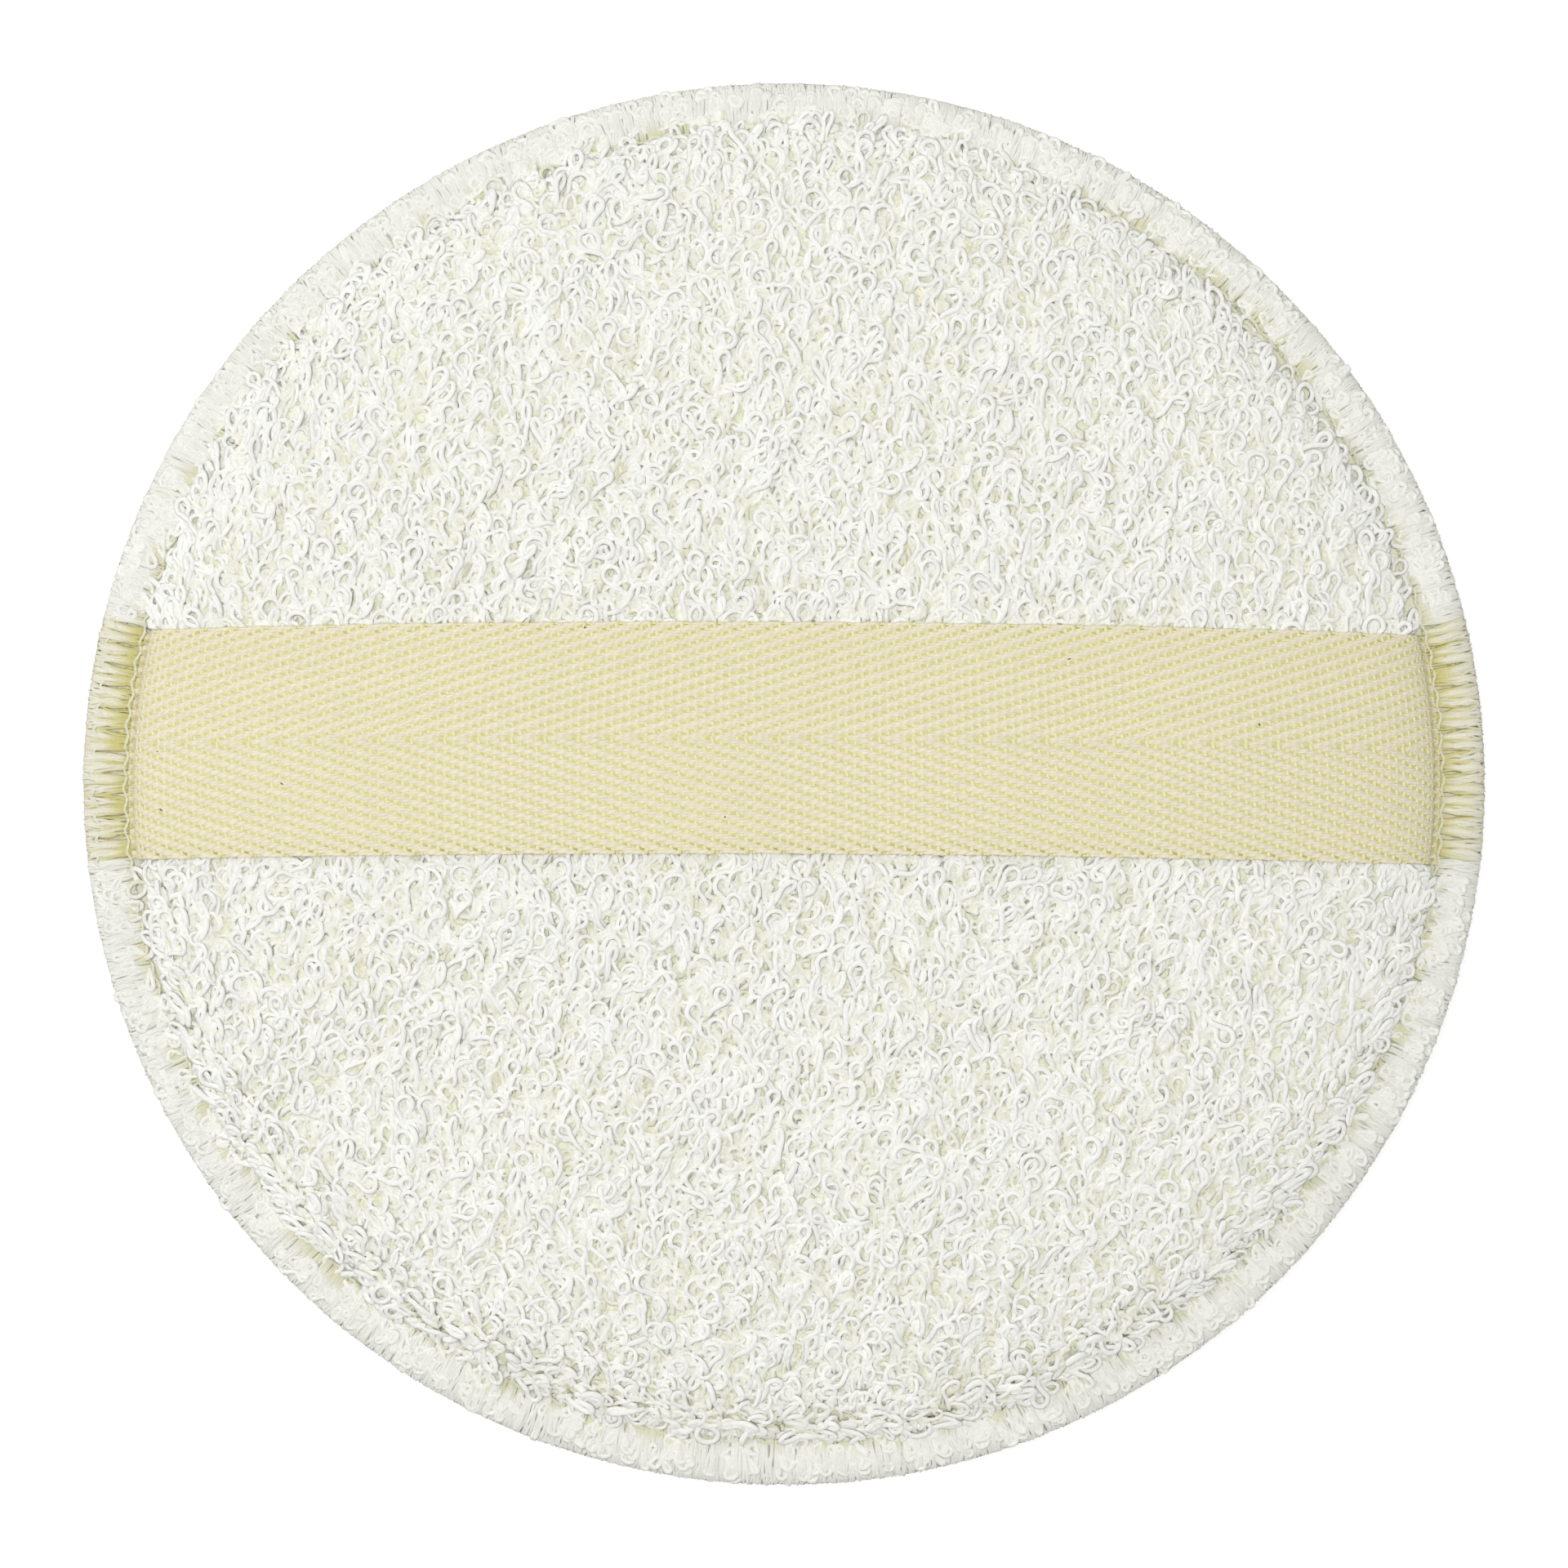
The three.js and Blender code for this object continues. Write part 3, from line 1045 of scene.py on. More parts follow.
        z = rng.choice([-1, 1], (count, 1)) * vary(*sizes.twist) * side
        droop = vary(*sizes.droop) * np.sin(rise) * y * (y / length)
        root = place - normal * sizes.inset
        line = (
            root[:, None]
            + across[:, None] * x[:, :, None]
            + upward[:, None] * y[:, :, None]
            + through[:, None] * z[:, :, None]
            + (tangent - normal)[:, None] * droop[:, :, None]
        )
        if self.face is Face.UPPER:
            line = self.pressed_under_strap(line, sizes.yarn)
        else:
            line[:, :, 2] = np.maximum(line[:, :, 2], 1.02 * sizes.yarn)
        # Points low in the pile take the darker, yellower colour: painted shade of its hollows.
        out = dot(line - root[:, None], normal[:, None])[:, :, 0] + self.GROUND_DEPTH - sizes.inset
        depth = np.clip(out / self.SHADE_FADE, 0, 1) ** 0.8
        thick = sizes.yarn * vary(*sizes.uneven)
        faced = raised(normal, self.face)[:, None]
        tone = rng.random(count)
        return Yarns(line, through[:, None], thick, thick * 0.9, faced, depth, tone, self.YARN_SIDES), angle

    def pressed_under_strap(self, line: Array, yarn: float) -> Array:
        """Presses the parts of loops that lie under the strap down to the room under it.

        Args:
            line: (loops, points, 3) the loops' lines.
            yarn: Half the thickness of their yarn.

        Returns:
            The lines, pressed.
        """
        form = self.form
        base = form.seam + form.side_height
        x, y, height = np.moveaxis(line - np.array([0, 0, base]), -1, 0)
        beside = np.abs(y - form.strap_middle(x)) - form.strap_width / 2
        under = 1 - smooth(beside / self.PRESSED_EDGE + 0.2)
        drawn = np.sqrt(np.clip(1 - (y / form.needle_radius) ** 2, 0.01, 1))
        reach, rise = form.strap_room()
        filled = (np.abs(x) / drawn / (reach - yarn)) ** ACROSS_POWER
        filled = filled + (np.clip(height, 0, None) / (rise - yarn)) ** UPWARD_POWER
        shrink = 1 - under * (1 - np.clip(filled, 1, None) ** (-2 / (ACROSS_POWER + UPWARD_POWER)))
        height = np.where(height > 0, height * shrink, height)
        return np.stack([x * shrink, y, height + base], axis=-1)

    def rim_tufts(self) -> Yarns:
        """Short loops of the cloth's edge, squashed under the overlock's strands."""
        form, rng, sizes = self.form, self.rng, self.TUFTS
        count = sizes.count
        angle = rng.uniform(0, FULL_TURN, count)
        share = rng.uniform(*sizes.share, count)
        place, normal = rim_surface(form, self.face, angle, share, sizes.foot)
        heading = unit(ways(angle) + rng.normal(0, sizes.spread, (count, 3)))
        tangent = unit(heading - dot(heading, normal) * normal)
        aside = np.cross(tangent, normal)
        length, wide, height = (
            rng.uniform(*span, (count, 1)) for span in (sizes.length, sizes.width, sizes.height)
        )
        step = np.linspace(0, 1, 10)[None]
        bow = np.sin(math.pi * step)
        line = (
            place[:, None]
            + tangent[:, None] * (length * (bow - sizes.back))[:, :, None]
            + aside[:, None] * (wide * np.sin(FULL_TURN * step) * bow**0.8)[:, :, None]
            + normal[:, None] * (height * bow)[:, :, None]
        )
        if self.face is Face.UPPER:
            beside = np.abs(place[:, 1] - form.strap_middle(place[:, 0])) - form.strap_width / 2
            clear = beside > sizes.clear
            line, normal = line[clear], normal[clear]
        thick, tone = sizes.yarn, rng.random(len(line))
        faced = raised(normal, self.face)[:, None]
        return Yarns(line, normal[:, None], thick, thick, faced, sizes.depth, tone, self.YARN_SIDES)

    def build(self, terry: Material, ground: Material) -> list[Piece]:
        """Makes the side's pieces, on the pad's body.

        Args:
            terry: The finish of the pile.
            ground: The finish of the cloth under it, painted in the pile's shade.

        Returns:
            The pieces.
        """
        label = self.face.label
        cloth = self.ground().to_object(f"{label}_ground_cloth", ground)
        pieces = [cloth]
        for layer, sizes in zip(("pile", "short_pile", "proud_loops"), self.layers):
            loops, angle = self.loops(sizes)
            sector = (angle % FULL_TURN / FULL_TURN * sizes.sectors).astype(int)
            for number in range(sizes.sectors):
                picked = loops.picked(sector == number)
                pieces.append(picked.to_object(f"{label}_{layer}_{number + 1}", terry))
        pieces.append(self.rim_tufts().to_object(f"{label}_rim_tufts", terry))
        on_pad(pieces, f"{label}_terry_cover")
        return pieces


# The foam


class FoamCore:
    """The foam disc between the covers."""

    SEGMENTS = 96  # steps round the disc
    STEPS = 24  # points from the middle of a face to the edge

    def __init__(self, form: PadForm) -> None:
        """Sets the pad's form that the foam fills."""
        self.form = form

    def build(self, foam: Material) -> Piece:
        """Makes the foam, on the pad's body.

        Args:
            foam: Its finish.

        Returns:
            The piece.
        """
        low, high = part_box("foam_core")
        seam = self.form.seam
        upper, lower = (crown_arc(high.x, 0, height, self.STEPS) for height in (high.z - seam, seam - low.z))
        section = np.concatenate([upper, lower[-2::-1] * np.array([1, -1])])
        swell = np.zeros((len(section), self.SEGMENTS))
        piece = revolved(section, Face.UPPER, seam, swell).to_object("foam_disc", foam)
        on_pad([piece], "foam_core")
        return piece


# The hand strap


@dataclass(frozen=True)
class WeaveSizes:
    """Sizes of the strap's 2/2 herringbone weave.

    Attributes:
        ends: How many warp ends lie across the strap.
        repeat: How many picks one repeat takes.
        pick: How far apart the picks are.
        samples: How many points an end has for each pick.
        end_width: Half the width of an end's section.
        end_height: Half its height.
        lift: How far an end rises and dips.
        sway: How far an end leans towards the next float of its ridge.
        float_bias: How much longer the ends lie on the face than under it, 0 for equally long.
        flatness: How flat an end lies at its highest and lowest.
        pick_width: Half the width of a pick's section.
        pick_height: Half its height.
        body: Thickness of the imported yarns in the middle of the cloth.
    """

    ends: int = 84
    repeat: int = 4
    pick: float = 0.91 * MM
    samples: int = 3
    end_width: float = 0.25 * MM
    end_height: float = 0.15 * MM
    lift: float = 0.14 * MM
    sway: float = 0.05 * MM
    float_bias: float = 0.2
    flatness: float = 1.2
    pick_width: float = 0.3 * MM
    pick_height: float = 0.12 * MM
    body: float = 0.16 * MM


class HandStrap:
    """The herringbone tape across the upper cover."""

    THICKNESS = 0.9 * MM
    PRESSED = 0.7 * MM  # its thickness where it is sewn down
    FOLD = 0.7 * MM  # the inner radius of the fold at each end
    PARTS = 4  # pieces that the weave is made in
    PROBE = 0.1 * MM  # a short step, for finding slopes
    WARP_SEED = 8
    # How the ends wander, by their place, and swell: size, millimetres for a wave and how it shifts by end
    WANDER = ((0.02, 4.1, 1), (0.012, 1.3, 2), (0.06, 2.3, 3))
    SLAB_STEPS = (260, 13)  # along and across
    SLAB_MARGIN = (0.3 * MM, 0.15 * MM)  # by which it stops short of the yarns, along and across

    # Husk flecks of raw cotton on the tape's face, in millimetres along and across it
    FLECKS = (
        *((-69.5, -0.8), (-69.0, -7.2), (-54.8, -4.6), (-22.2, 12.0)),
        *((31.5, 8.9), (-6.4, -8.6), (52.0, 2.2)),
    )

    def __init__(self, form: PadForm, weave: WeaveSizes, seed: int) -> None:
        """Sets what the strap is made from.

        Args:
            form: The pad's form.
            weave: The weave's sizes.
            seed: The seed of its chance.
        """
        self.form = form
        self.weave = weave
        self.rng = np.random.default_rng(seed)
        self.path = self.middle_line()
        steps = np.linalg.norm(np.diff(self.path, axis=0), axis=1)
        self.along = np.concatenate([[0], np.cumsum(steps)])
        self.along -= self.along[-1] / 2
        slope = unit(np.gradient(self.path, axis=0))
        self.normal = np.stack([-slope[:, 1], slope[:, 0]], axis=1)
        self.number = np.arange(weave.ends) - (weave.ends - 1) / 2
        self.from_spine = np.abs(self.number) + 0.5
        self.spacing = form.strap_width / weave.ends

    def middle_line(self) -> Array:
        """The line in the middle of the strap's thickness from the side, as (x, height) from end to end."""
        form = self.form
        radius, rise = (room + self.THICKNESS / 2 for room in form.strap_room())
        arch = crown_arc(radius, form.side_height, rise, 300)
        turn = np.linspace(0, QUARTER_TURN, 8)
        reach = self.FOLD + self.THICKNESS / 2
        drop = self.FOLD + self.PRESSED / 2
        tab = form.tab_bottom + self.PRESSED / 2
        fold = np.stack([radius + reach * (1 - np.cos(turn)), tab + drop * (1 - np.sin(turn))], axis=1)
        half = np.concatenate([arch, fold, [[form.strap_end, tab]]])
        return np.concatenate([half[:0:-1] * np.array([-1, 1]), half])

    def placed(self, along: Array, across: Array, out: Array) -> Array:
        """Where a point of the flat tape lies on the pad.

        Args:
            along: How far along the tape from its middle.
            across: How far across it from its middle line.
            out: How far out of its mid surface.

        Returns:
            The place, with the shape of along and a last axis of 3.
        """
        x, height, lean_x, lean_z = (
            np.interp(along, self.along, column) for column in (*self.path.T, *self.normal.T)
        )
        y = across + self.form.strap_middle(x)
        drawn = np.sqrt(1 - (y / self.form.needle_radius) ** 2)
        tab = smooth((np.abs(x) - self.form.dome_radius) / MM)
        out = out * (1 - tab * (1 - self.PRESSED / self.THICKNESS))
        return np.stack([(x + out * lean_x) * drawn, y, self.form.seam + height + out * lean_z], axis=-1)

    def dip(self, at: float) -> Array:
        """Where each end dips under a pick nearest to a place along the tape, or where the tape ends."""
        if not self.along[0] < at < self.along[-1]:
            return np.full(self.from_spine.shape, at)
        turn = self.weave.pick * self.weave.repeat
        first = (self.from_spine + self.weave.repeat / 2) * self.weave.pick
        return first + turn * np.round((at - first) / turn)

    def warp(self, start: float, stop: float) -> Yarns:
        """The ends between two places along the tape, each broken off under a pick."""
        weave, rng = self.weave, np.random.default_rng(self.WARP_SEED)
        points = max(round((stop - start) / weave.pick * weave.samples), 2) + 1
        along = np.linspace(self.dip(start), self.dip(stop), points, axis=1)
        phase = FULL_TURN * (along / weave.pick - self.from_spine[:, None]) / weave.repeat
        wander = rng.uniform(0, FULL_TURN, (weave.ends, 1))
        slow, quick, swell = (
            size * np.sin(along / (span * MM) + shift * wander) for size, span, shift in self.WANDER
        )
        uneven = (slow + quick) * MM
        height = np.tanh(weave.flatness * (np.cos(phase) + weave.float_bias)) / math.tanh(weave.flatness)
        out = weave.lift * height + uneven
        across = (self.number * self.spacing)[:, None] + uneven
        across = across + np.sign(self.number)[:, None] * weave.sway * np.sin(phase)
        line = self.placed(along, across, out)
        outward = unit(self.placed(along, across, out + self.PROBE) - line)
        width, thick = weave.end_width * (1 + swell), weave.end_height * (1 + swell)
        # Ends take the darker colour where they dip: painted shade in the hollows of the weave.
        depth = np.clip(0.5 + 0.5 * out / weave.lift, 0, 1)
        return Yarns(line, np.array([0, 1.0, 0]), width, thick, outward, depth, rng.random(weave.ends))

    def weft(self, start: float, stop: float) -> Yarns:
        """The picks between two places along the tape, turned back at the selvedges."""
        weave = self.weave
        first, last = (math.ceil(at / weave.pick - 0.5) for at in (start, stop))
        picks = np.arange(first, last)[:, None]
        phase = FULL_TURN * (picks + 0.5 - self.from_spine) / weave.repeat
        out = np.pad(-0.5 * weave.lift * np.cos(phase), ((0, 0), (1, 1)))
        edge = self.form.strap_width / 2 + 0.05 * MM
        across = np.broadcast_to([-edge, *(self.number * self.spacing), edge], out.shape)
        along = np.broadcast_to((picks + 0.5) * weave.pick, out.shape)
        line = self.placed(along, across, out)
        slope = self.placed(along + self.PROBE, across, out) - line
        upward = np.array([0, 0, 1.0])
        # At 0.15 the picks take mostly the darker colour: painted shade under the ends.
        return Yarns(line, slope, weave.pick_width, weave.pick_height, upward, 0.15, 0.5, sides=4)

    def body(self) -> MeshData:
        """The dense middle of the cloth, a closed slab from end to end, which shows between the yarns in
        painted shade.
        """
        thick, last = self.weave.body, len(self.along) - 1
        steps, margin = self.SLAB_STEPS, self.SLAB_MARGIN
        stations = np.interp(np.linspace(0, last, steps[0]), np.arange(last + 1), self.along)
        stations[[0, -1]] += np.array([margin[0], -margin[0]])
        columns = np.linspace(-1, 1, steps[1]) * (self.form.strap_width / 2 - margin[1])
        along, across = np.meshgrid(stations, columns, indexing="ij")
        faces = [self.placed(along, across, np.full(along.shape, out)) for out in (thick / 2, -thick / 2)]
        index = np.arange(along.size).reshape(along.shape)
        quads = [index[:-1, :-1], index[1:, :-1], index[1:, 1:], index[:-1, 1:]]
        above = np.stack(quads, axis=-1).reshape(-1, 4)
        below = above[:, ::-1] + along.size
        ring = np.concatenate([index[:-1, 0], index[-1, :-1], index[:0:-1, -1], index[0, :0:-1]])
        following = np.roll(ring, -1)
        wall = np.stack([following, ring, ring + along.size, following + along.size], axis=-1)
        corners = np.concatenate([above, below, wall]).ravel()
        flat = np.stack([along, across], axis=-1).reshape(-1, 2) / MM
        return MeshData(
            vertices=np.concatenate(faces).reshape(-1, 3),
            corners=corners,
            counts=np.full(len(corners) // 4, 4),
            uv=np.concatenate([flat, flat])[corners],
            values=plain_values(2 * along.size),
        )

    def flecks(self) -> Yarns:
        """Flecks of cotton husk caught in the face of the tape."""
        rng = self.rng
        at = np.array(self.FLECKS) * MM
        share = np.linspace(-1, 1, 5)[None]
        heading = rng.uniform(0, math.pi, (len(at), 1))
        size = rng.uniform(0.1, 0.22, (len(at), 1)) * MM
        along = at[:, :1] + share * size * np.cos(heading)
        across = at[:, 1:] + share * size * np.sin(heading)
        line = self.placed(along, across, np.full(along.shape, self.weave.lift + self.weave.end_height))
        thick = 0.11 * MM * np.sqrt(1 - 0.9 * share**2)
        wide, upward = np.array([1.0, 0.3, 0]), np.array([0, 0, 1.0])
        return Yarns(line, wide, thick, thick * 0.6, upward, 1.0, rng.random(len(at)))

    def build(self, yarn: Material, body: Material, husk: Material) -> list[Piece]:
        """Makes the strap's pieces, in place of the CAD's strap.

        Args:
            yarn: The finish of its yarns.
            body: The finish of the middle of the cloth, painted shade between the yarns.
            husk: The finish of the flecks.

        Returns:
            The pieces.
        """
        bounds = np.linspace(self.along[0], self.along[-1], self.PARTS + 1)
        slab = self.body().to_object("strap_body", body)
        pieces = []
        for number, (start, stop) in enumerate(zip(bounds[:-1], bounds[1:])):
            mesh = MeshData.joined([self.warp(start, stop).to_mesh(), self.weft(start, stop).to_mesh()])
            pieces.append(mesh.to_object(f"strap_weave_{number + 1}", yarn))
        pieces.append(self.flecks().to_object("strap_flecks", husk))
        for piece in [slab, *pieces]:
            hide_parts("hand_strap")
            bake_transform(piece)
        return [slab, *pieces]


# The overlocked rim

RIM_INSET = 0.25 * MM  # from the edge of the CAD's thread to the surface that the strands lie on
RIM_BASE = 0.35 * MM  # from the cloth's flange to that surface
RIM_BULGE = 0.6 * MM  # how far the surface bulges between the needle line and the edge
RIM_OUTWARD_POWER = 1.6
RIM_DOWNWARD_POWER = 3.2
TAB_RAMP = 2 * MM  # the stretch beside the strap's tabs over which the stitches come down


def rim_section(form: PadForm, share: Array) -> Array:
    """The rim's rounded section.

    Args:
        form: The pad's form.
        share: 0 at the needle line, 1 at the seam plane on the outer edge.

    Returns:
        Radius and height away from the seam plane, on a last axis of 2.
    """
    width = form.rim_edge - RIM_INSET - form.needle_radius
    radius = form.needle_radius + width * (1 - np.clip(1 - share, 0, None) ** RIM_OUTWARD_POWER)
    arched = form.flange_top + RIM_BASE + RIM_BULGE * np.sin(math.pi * np.clip(share, 0, 1))
    height = arched * (1 - np.clip(share, 0, None) ** RIM_DOWNWARD_POWER)
    return np.stack([radius, height], axis=-1)


def rim_surface(
    form: PadForm, face: Face, angle: Array, share: Array, out: Array | float
) -> tuple[Array, Array]:
    """The rounded surface that the overlock's strands lie on.

    Args:
        form: The pad's form.
        face: The side.
        angle: Angles about Z.
        share: 0 at the needle line, 1 at the seam plane on the outer edge.
        out: How far out of the surface.

    Returns:
        The places and the ways out of the surface there.
    """
    radius, height = np.moveaxis(rim_section(form, share), -1, 0)
    rise = unit(rim_section(form, share + 0.01) - rim_section(form, share - 0.01))
    outward = ways(angle)
    normal = -rise[..., 1:] * outward + rise[..., :1] * face.up
    if face is Face.UPPER:
        height = height + climb(form, radius * np.sin(angle), angle) * (1 - np.clip(share, 0, 1) ** 2)
    place = outward * radius[..., None] + face.up * height[..., None] + np.array([0, 0, form.seam])
    return place + normal * np.broadcast_to(out, radius.shape)[..., None], normal


def climb(form: PadForm, y: Array, angle: Array) -> Array:
    """How much higher the upper side's stitches run where they cross the strap's tabs."""
    beside = np.abs(y - form.strap_offset) - form.strap_width / 2
    by_an_end = np.abs(np.cos(angle)) > 0.5
    return HandStrap.PRESSED * (1 - smooth(beside / TAB_RAMP)) * by_an_end


@dataclass(frozen=True)
class StitchSizes:
    """Sizes of the three-thread overlock.

    Attributes:
        stitches: How many stitches go round.
        strands: How many fine strands each looper leg spreads into.
        points: How many points a strand has.
        steps: How many points the needle thread and the line of knots have for each stitch.
        strand: Half a strand's thickness.
        uneven: The least and greatest thickness of the strands, by that.
        spread: How much wider than its stitch a bundle is at the edge.
        turns: The least and greatest number of waves that a strand has.
        wave: The least and greatest size of those waves.
        bundle: How far up to a bundle lies over the rim, in millimetres.
        knot: Half the thickness of the knots on the edge.
        knot_inset: How far inside the rim's edge they are centred.
        knot_swing: How far their line swings in and out, and up and down.
        needle: Half the thickness of one ply of the needle thread.
        ply_offset: How far each of its plies lies from their common line.
        needle_lie: How far that line runs over the bottom of the strap's tabs on the whole.
        needle_dip: How far it rises and dips.
        needle_sway: How far it swings in and out with each stitch.
        needle_drift: How far it drifts in and out over several stitches.
    """

    stitches: int = 196
    strands: int = 8
    points: int = 9
    steps: int = 8
    strand: float = 0.17 * MM
    uneven: Span = (0.8, 1.2)
    spread: float = 1.08
    turns: Span = (0.8, 2.2)
    wave: Span = (0.04 * MM, 0.2 * MM)
    bundle: float = 0.25
    knot: float = 0.17 * MM
    knot_inset: float = 0.28 * MM
    knot_swing: Span = (0.1 * MM, 0.42 * MM)
    needle: float = 0.11 * MM
    ply_offset: float = 0.08 * MM
    needle_lie: float = 0.42 * MM
    needle_dip: float = 0.38 * MM
    needle_sway: float = 0.16 * MM
    needle_drift: float = 0.06 * MM


class OverlockRim:
    """The stitching that closes the rim: a looper thread on each side, held by the needle thread."""

    # The stretch, in degrees, where the lower looper's knots are pulled up onto the upper face
    CHAIN = (165.0, 189.0)

    def __init__(self, form: PadForm, sizes: StitchSizes, seed: int) -> None:
        """Sets what the rim is made from.

        Args:
            form: The pad's form.
            sizes: The stitch's sizes.
            seed: The seed of its chance.
        """
        self.form = form
        self.sizes = sizes
        self.rng = np.random.default_rng(seed)
        self.pitch = FULL_TURN / sizes.stitches
        self.round = np.linspace(0, FULL_TURN, sizes.stitches * sizes.steps + 1)

    def looper(self, face: Face) -> tuple[Yarns, Array, Array]:
        """A looper thread: from each needle hole two legs fan out to the edge, each a bundle of wavy strands.

        Args:
            face: The side that the thread lies on.

        Returns:
            The strands, the angle of the needle hole that each starts at, and which lie on the strap's ends.
        """
        form, sizes, rng = self.form, self.sizes, self.rng
        shape = (sizes.stitches, 2, sizes.strands)
        count = math.prod(shape)

        def each(values: Array) -> Array:
            """Values for stitches, legs or strands, given to each strand."""
            return np.broadcast_to(values, shape).reshape(count, 1)

        hole = each(self.pitch * np.arange(sizes.stitches)[:, None, None])
        side = each(np.array([-1, 1])[None, :, None])
        spread = each((np.arange(sizes.strands) + rng.uniform(0.1, 0.9, shape)) / sizes.strands)
        lifted = climb(form, form.needle_radius * np.sin(hole), hole) / HandStrap.PRESSED
        on_tab = lifted * (face is Face.UPPER)
        fan_in = (1.0 - 0.22 * on_tab) * side * spread + each(rng.uniform(-0.1, 0.1, shape))
        start = hole + fan_in * MM / form.needle_radius
        stop = hole + side * spread * (sizes.spread - 0.06 * on_tab) * self.pitch / 2
        share = np.linspace(-0.03, 1.05, sizes.points)[None]
        held = np.clip(share, 0, 1)
        fan = np.sin(held * math.pi / 2) ** 0.9
        turns, phase = rng.uniform(*sizes.turns, (count, 1)), rng.uniform(0, FULL_TURN, (2, count, 1))
        wave = rng.uniform(*sizes.wave, (count, 1))
        angle = start + (stop - start) * fan
        angle = angle + wave * np.sin(FULL_TURN * turns * share + phase[0]) / form.rim_edge
        aside = np.abs(2 * spread - 1)
        bundle = each(rng.uniform(0, sizes.bundle, (sizes.stitches, 2, 1)))
        layer = (bundle + 0.2 * (1 - aside**2) + rng.uniform(0, 0.08, (count, 1))) * MM
        ripple = 0.6 * wave * np.sin(FULL_TURN * turns * share + phase[1])
        out = layer * np.sin(math.pi * held) ** 0.6 + ripple
        line, normal = rim_surface(form, face, angle, np.broadcast_to(share, angle.shape), out)
        # Painted shade: strands low on the rim and near the needle line take more of the darker colour, more
        # or less by a random dimple for each stitch; on the strap's ends all take some, and the gaps between
        # bundles most.
        dimple_shade = each(rng.uniform(-0.5, 0.6, (sizes.stitches, 1, 1)))
        depth = np.clip(0.5 + out / (0.5 * MM), 0, 1) * np.clip(0.25 + dimple_shade + 3 * share, 0, 1)
        gap = aside**2 * np.clip(1.3 - 1.5 * share, 0, 1)
        depth = depth * (1 - on_tab * (0.2 + 0.8 * gap))
        thick = sizes.strand * rng.uniform(*sizes.uneven, (count, 1))
        strands = Yarns(line, normal, thick, thick, raised(normal, face), depth, rng.random(count), sides=4)
        return strands, hole[:, 0], on_tab[:, 0] > 0.5

    def edge_knots(self) -> Yarns:
        """The line of knots on the outer edge, where the two loopers cross."""
        form, sizes = self.form, self.sizes
        beat = self.round * sizes.stitches
        outward = ways(self.round)
        inward, upward = sizes.knot_swing
        radius = form.rim_edge - sizes.knot_inset + inward * np.cos(2 * beat)
        line = outward * radius[:, None]
        line[:, 2] = form.seam + upward * np.sin(beat)
        return Yarns(line[None], outward, sizes.knot, sizes.knot, raised(outward, Face.UPPER), 1.0, 0.5)

    def chain(self) -> Yarns:
        """The knots of the lower looper that show on the upper face by the strap's left end."""
        rng = self.rng
        links = np.arange(*(round(math.radians(at) / self.pitch) for at in self.CHAIN))[:, None]
        count = len(links)
        share = np.linspace(0, 1, 9)[None]
        bow = np.sin(math.pi * share)
        angle = (links + 0.25 + 0.7 * share + 0.1 * np.sin(FULL_TURN * share)) * self.pitch
        inward = 0.5 + 0.09 * bow + rng.uniform(-0.03, 0.03, (count, 1))
        out = (0.35 + 0.25 * bow) * MM
        line, normal = rim_surface(self.form, Face.UPPER, angle, inward - 0.06 * share, out)
        thick = 0.15 * MM * (0.75 + 0.5 * bow)
        # At 0.5 the knots take half of the darker colour, which is painted shade.
        return Yarns(line, normal, thick, thick, normal, 0.5, rng.random(count))

    def needle(self) -> Yarns:
        """The needle thread: two plies twisted round the line that dips between the stitches."""
        form, sizes, angle = self.form, self.sizes, self.round
        beat = angle * sizes.stitches
        lift = climb(form, form.needle_radius * np.sin(angle), angle)
        height = form.seam + form.tab_bottom + lift + sizes.needle_lie + sizes.needle_dip * np.cos(beat)
        radius = form.needle_radius + sizes.needle_sway * np.sin(beat)
        radius = radius + sizes.needle_drift * np.sin(0.37 * beat)
        twist = 2 * beat + np.array([[0], [math.pi]])
        line = ways(angle) * (radius + sizes.ply_offset * np.cos(twist))[..., None]
        line[..., 2] = height + sizes.ply_offset * np.sin(twist)
        upward = np.array([0, 0, 1.0])
        # At 0.35 the needle thread takes much of the darker colour: painted shade of the groove it lies in.
        return Yarns(line, upward, sizes.needle, sizes.needle, upward, 0.35, np.array([0.4, 0.6]))

    def build(self, yarn: Material, on_tape: Material) -> list[Piece]:
        """Makes the stitching, on the pad's body.

        Args:
            yarn: The finish of its threads.
            on_tape: The finish of the strands that lie on the strap's ends, with painted shade in their gaps.

        Returns:
            The pieces.
        """
        pieces = []
        for face in Face:
            strands, hole, taped = self.looper(face)
            made = []
            for number, half in enumerate((hole < math.pi, hole >= math.pi)):
                meshes = [strands.picked(half & ~taped).to_mesh()]
                if face is Face.UPPER and number == 0:
                    meshes += [self.edge_knots().to_mesh(), self.chain().to_mesh()]
                made.append(MeshData.joined(meshes).to_object(f"{face.label}_looper_{number + 1}", yarn))
            if taped.any():
                made.append(strands.picked(taped).to_object(f"{face.label}_looper_on_tape", on_tape))
            pieces += on_pad(made, f"{face.label}_looper_thread")
        needle = self.needle().to_object("needle_plies", yarn)
        return pieces + on_pad([needle], "needle_thread")


# The studio


@dataclass(frozen=True)
class Lamp:
    """An area light that points at the pad: its name, watts, width and place."""

    name: str
    power: float
    width: float
    place: tuple[float, float, float]


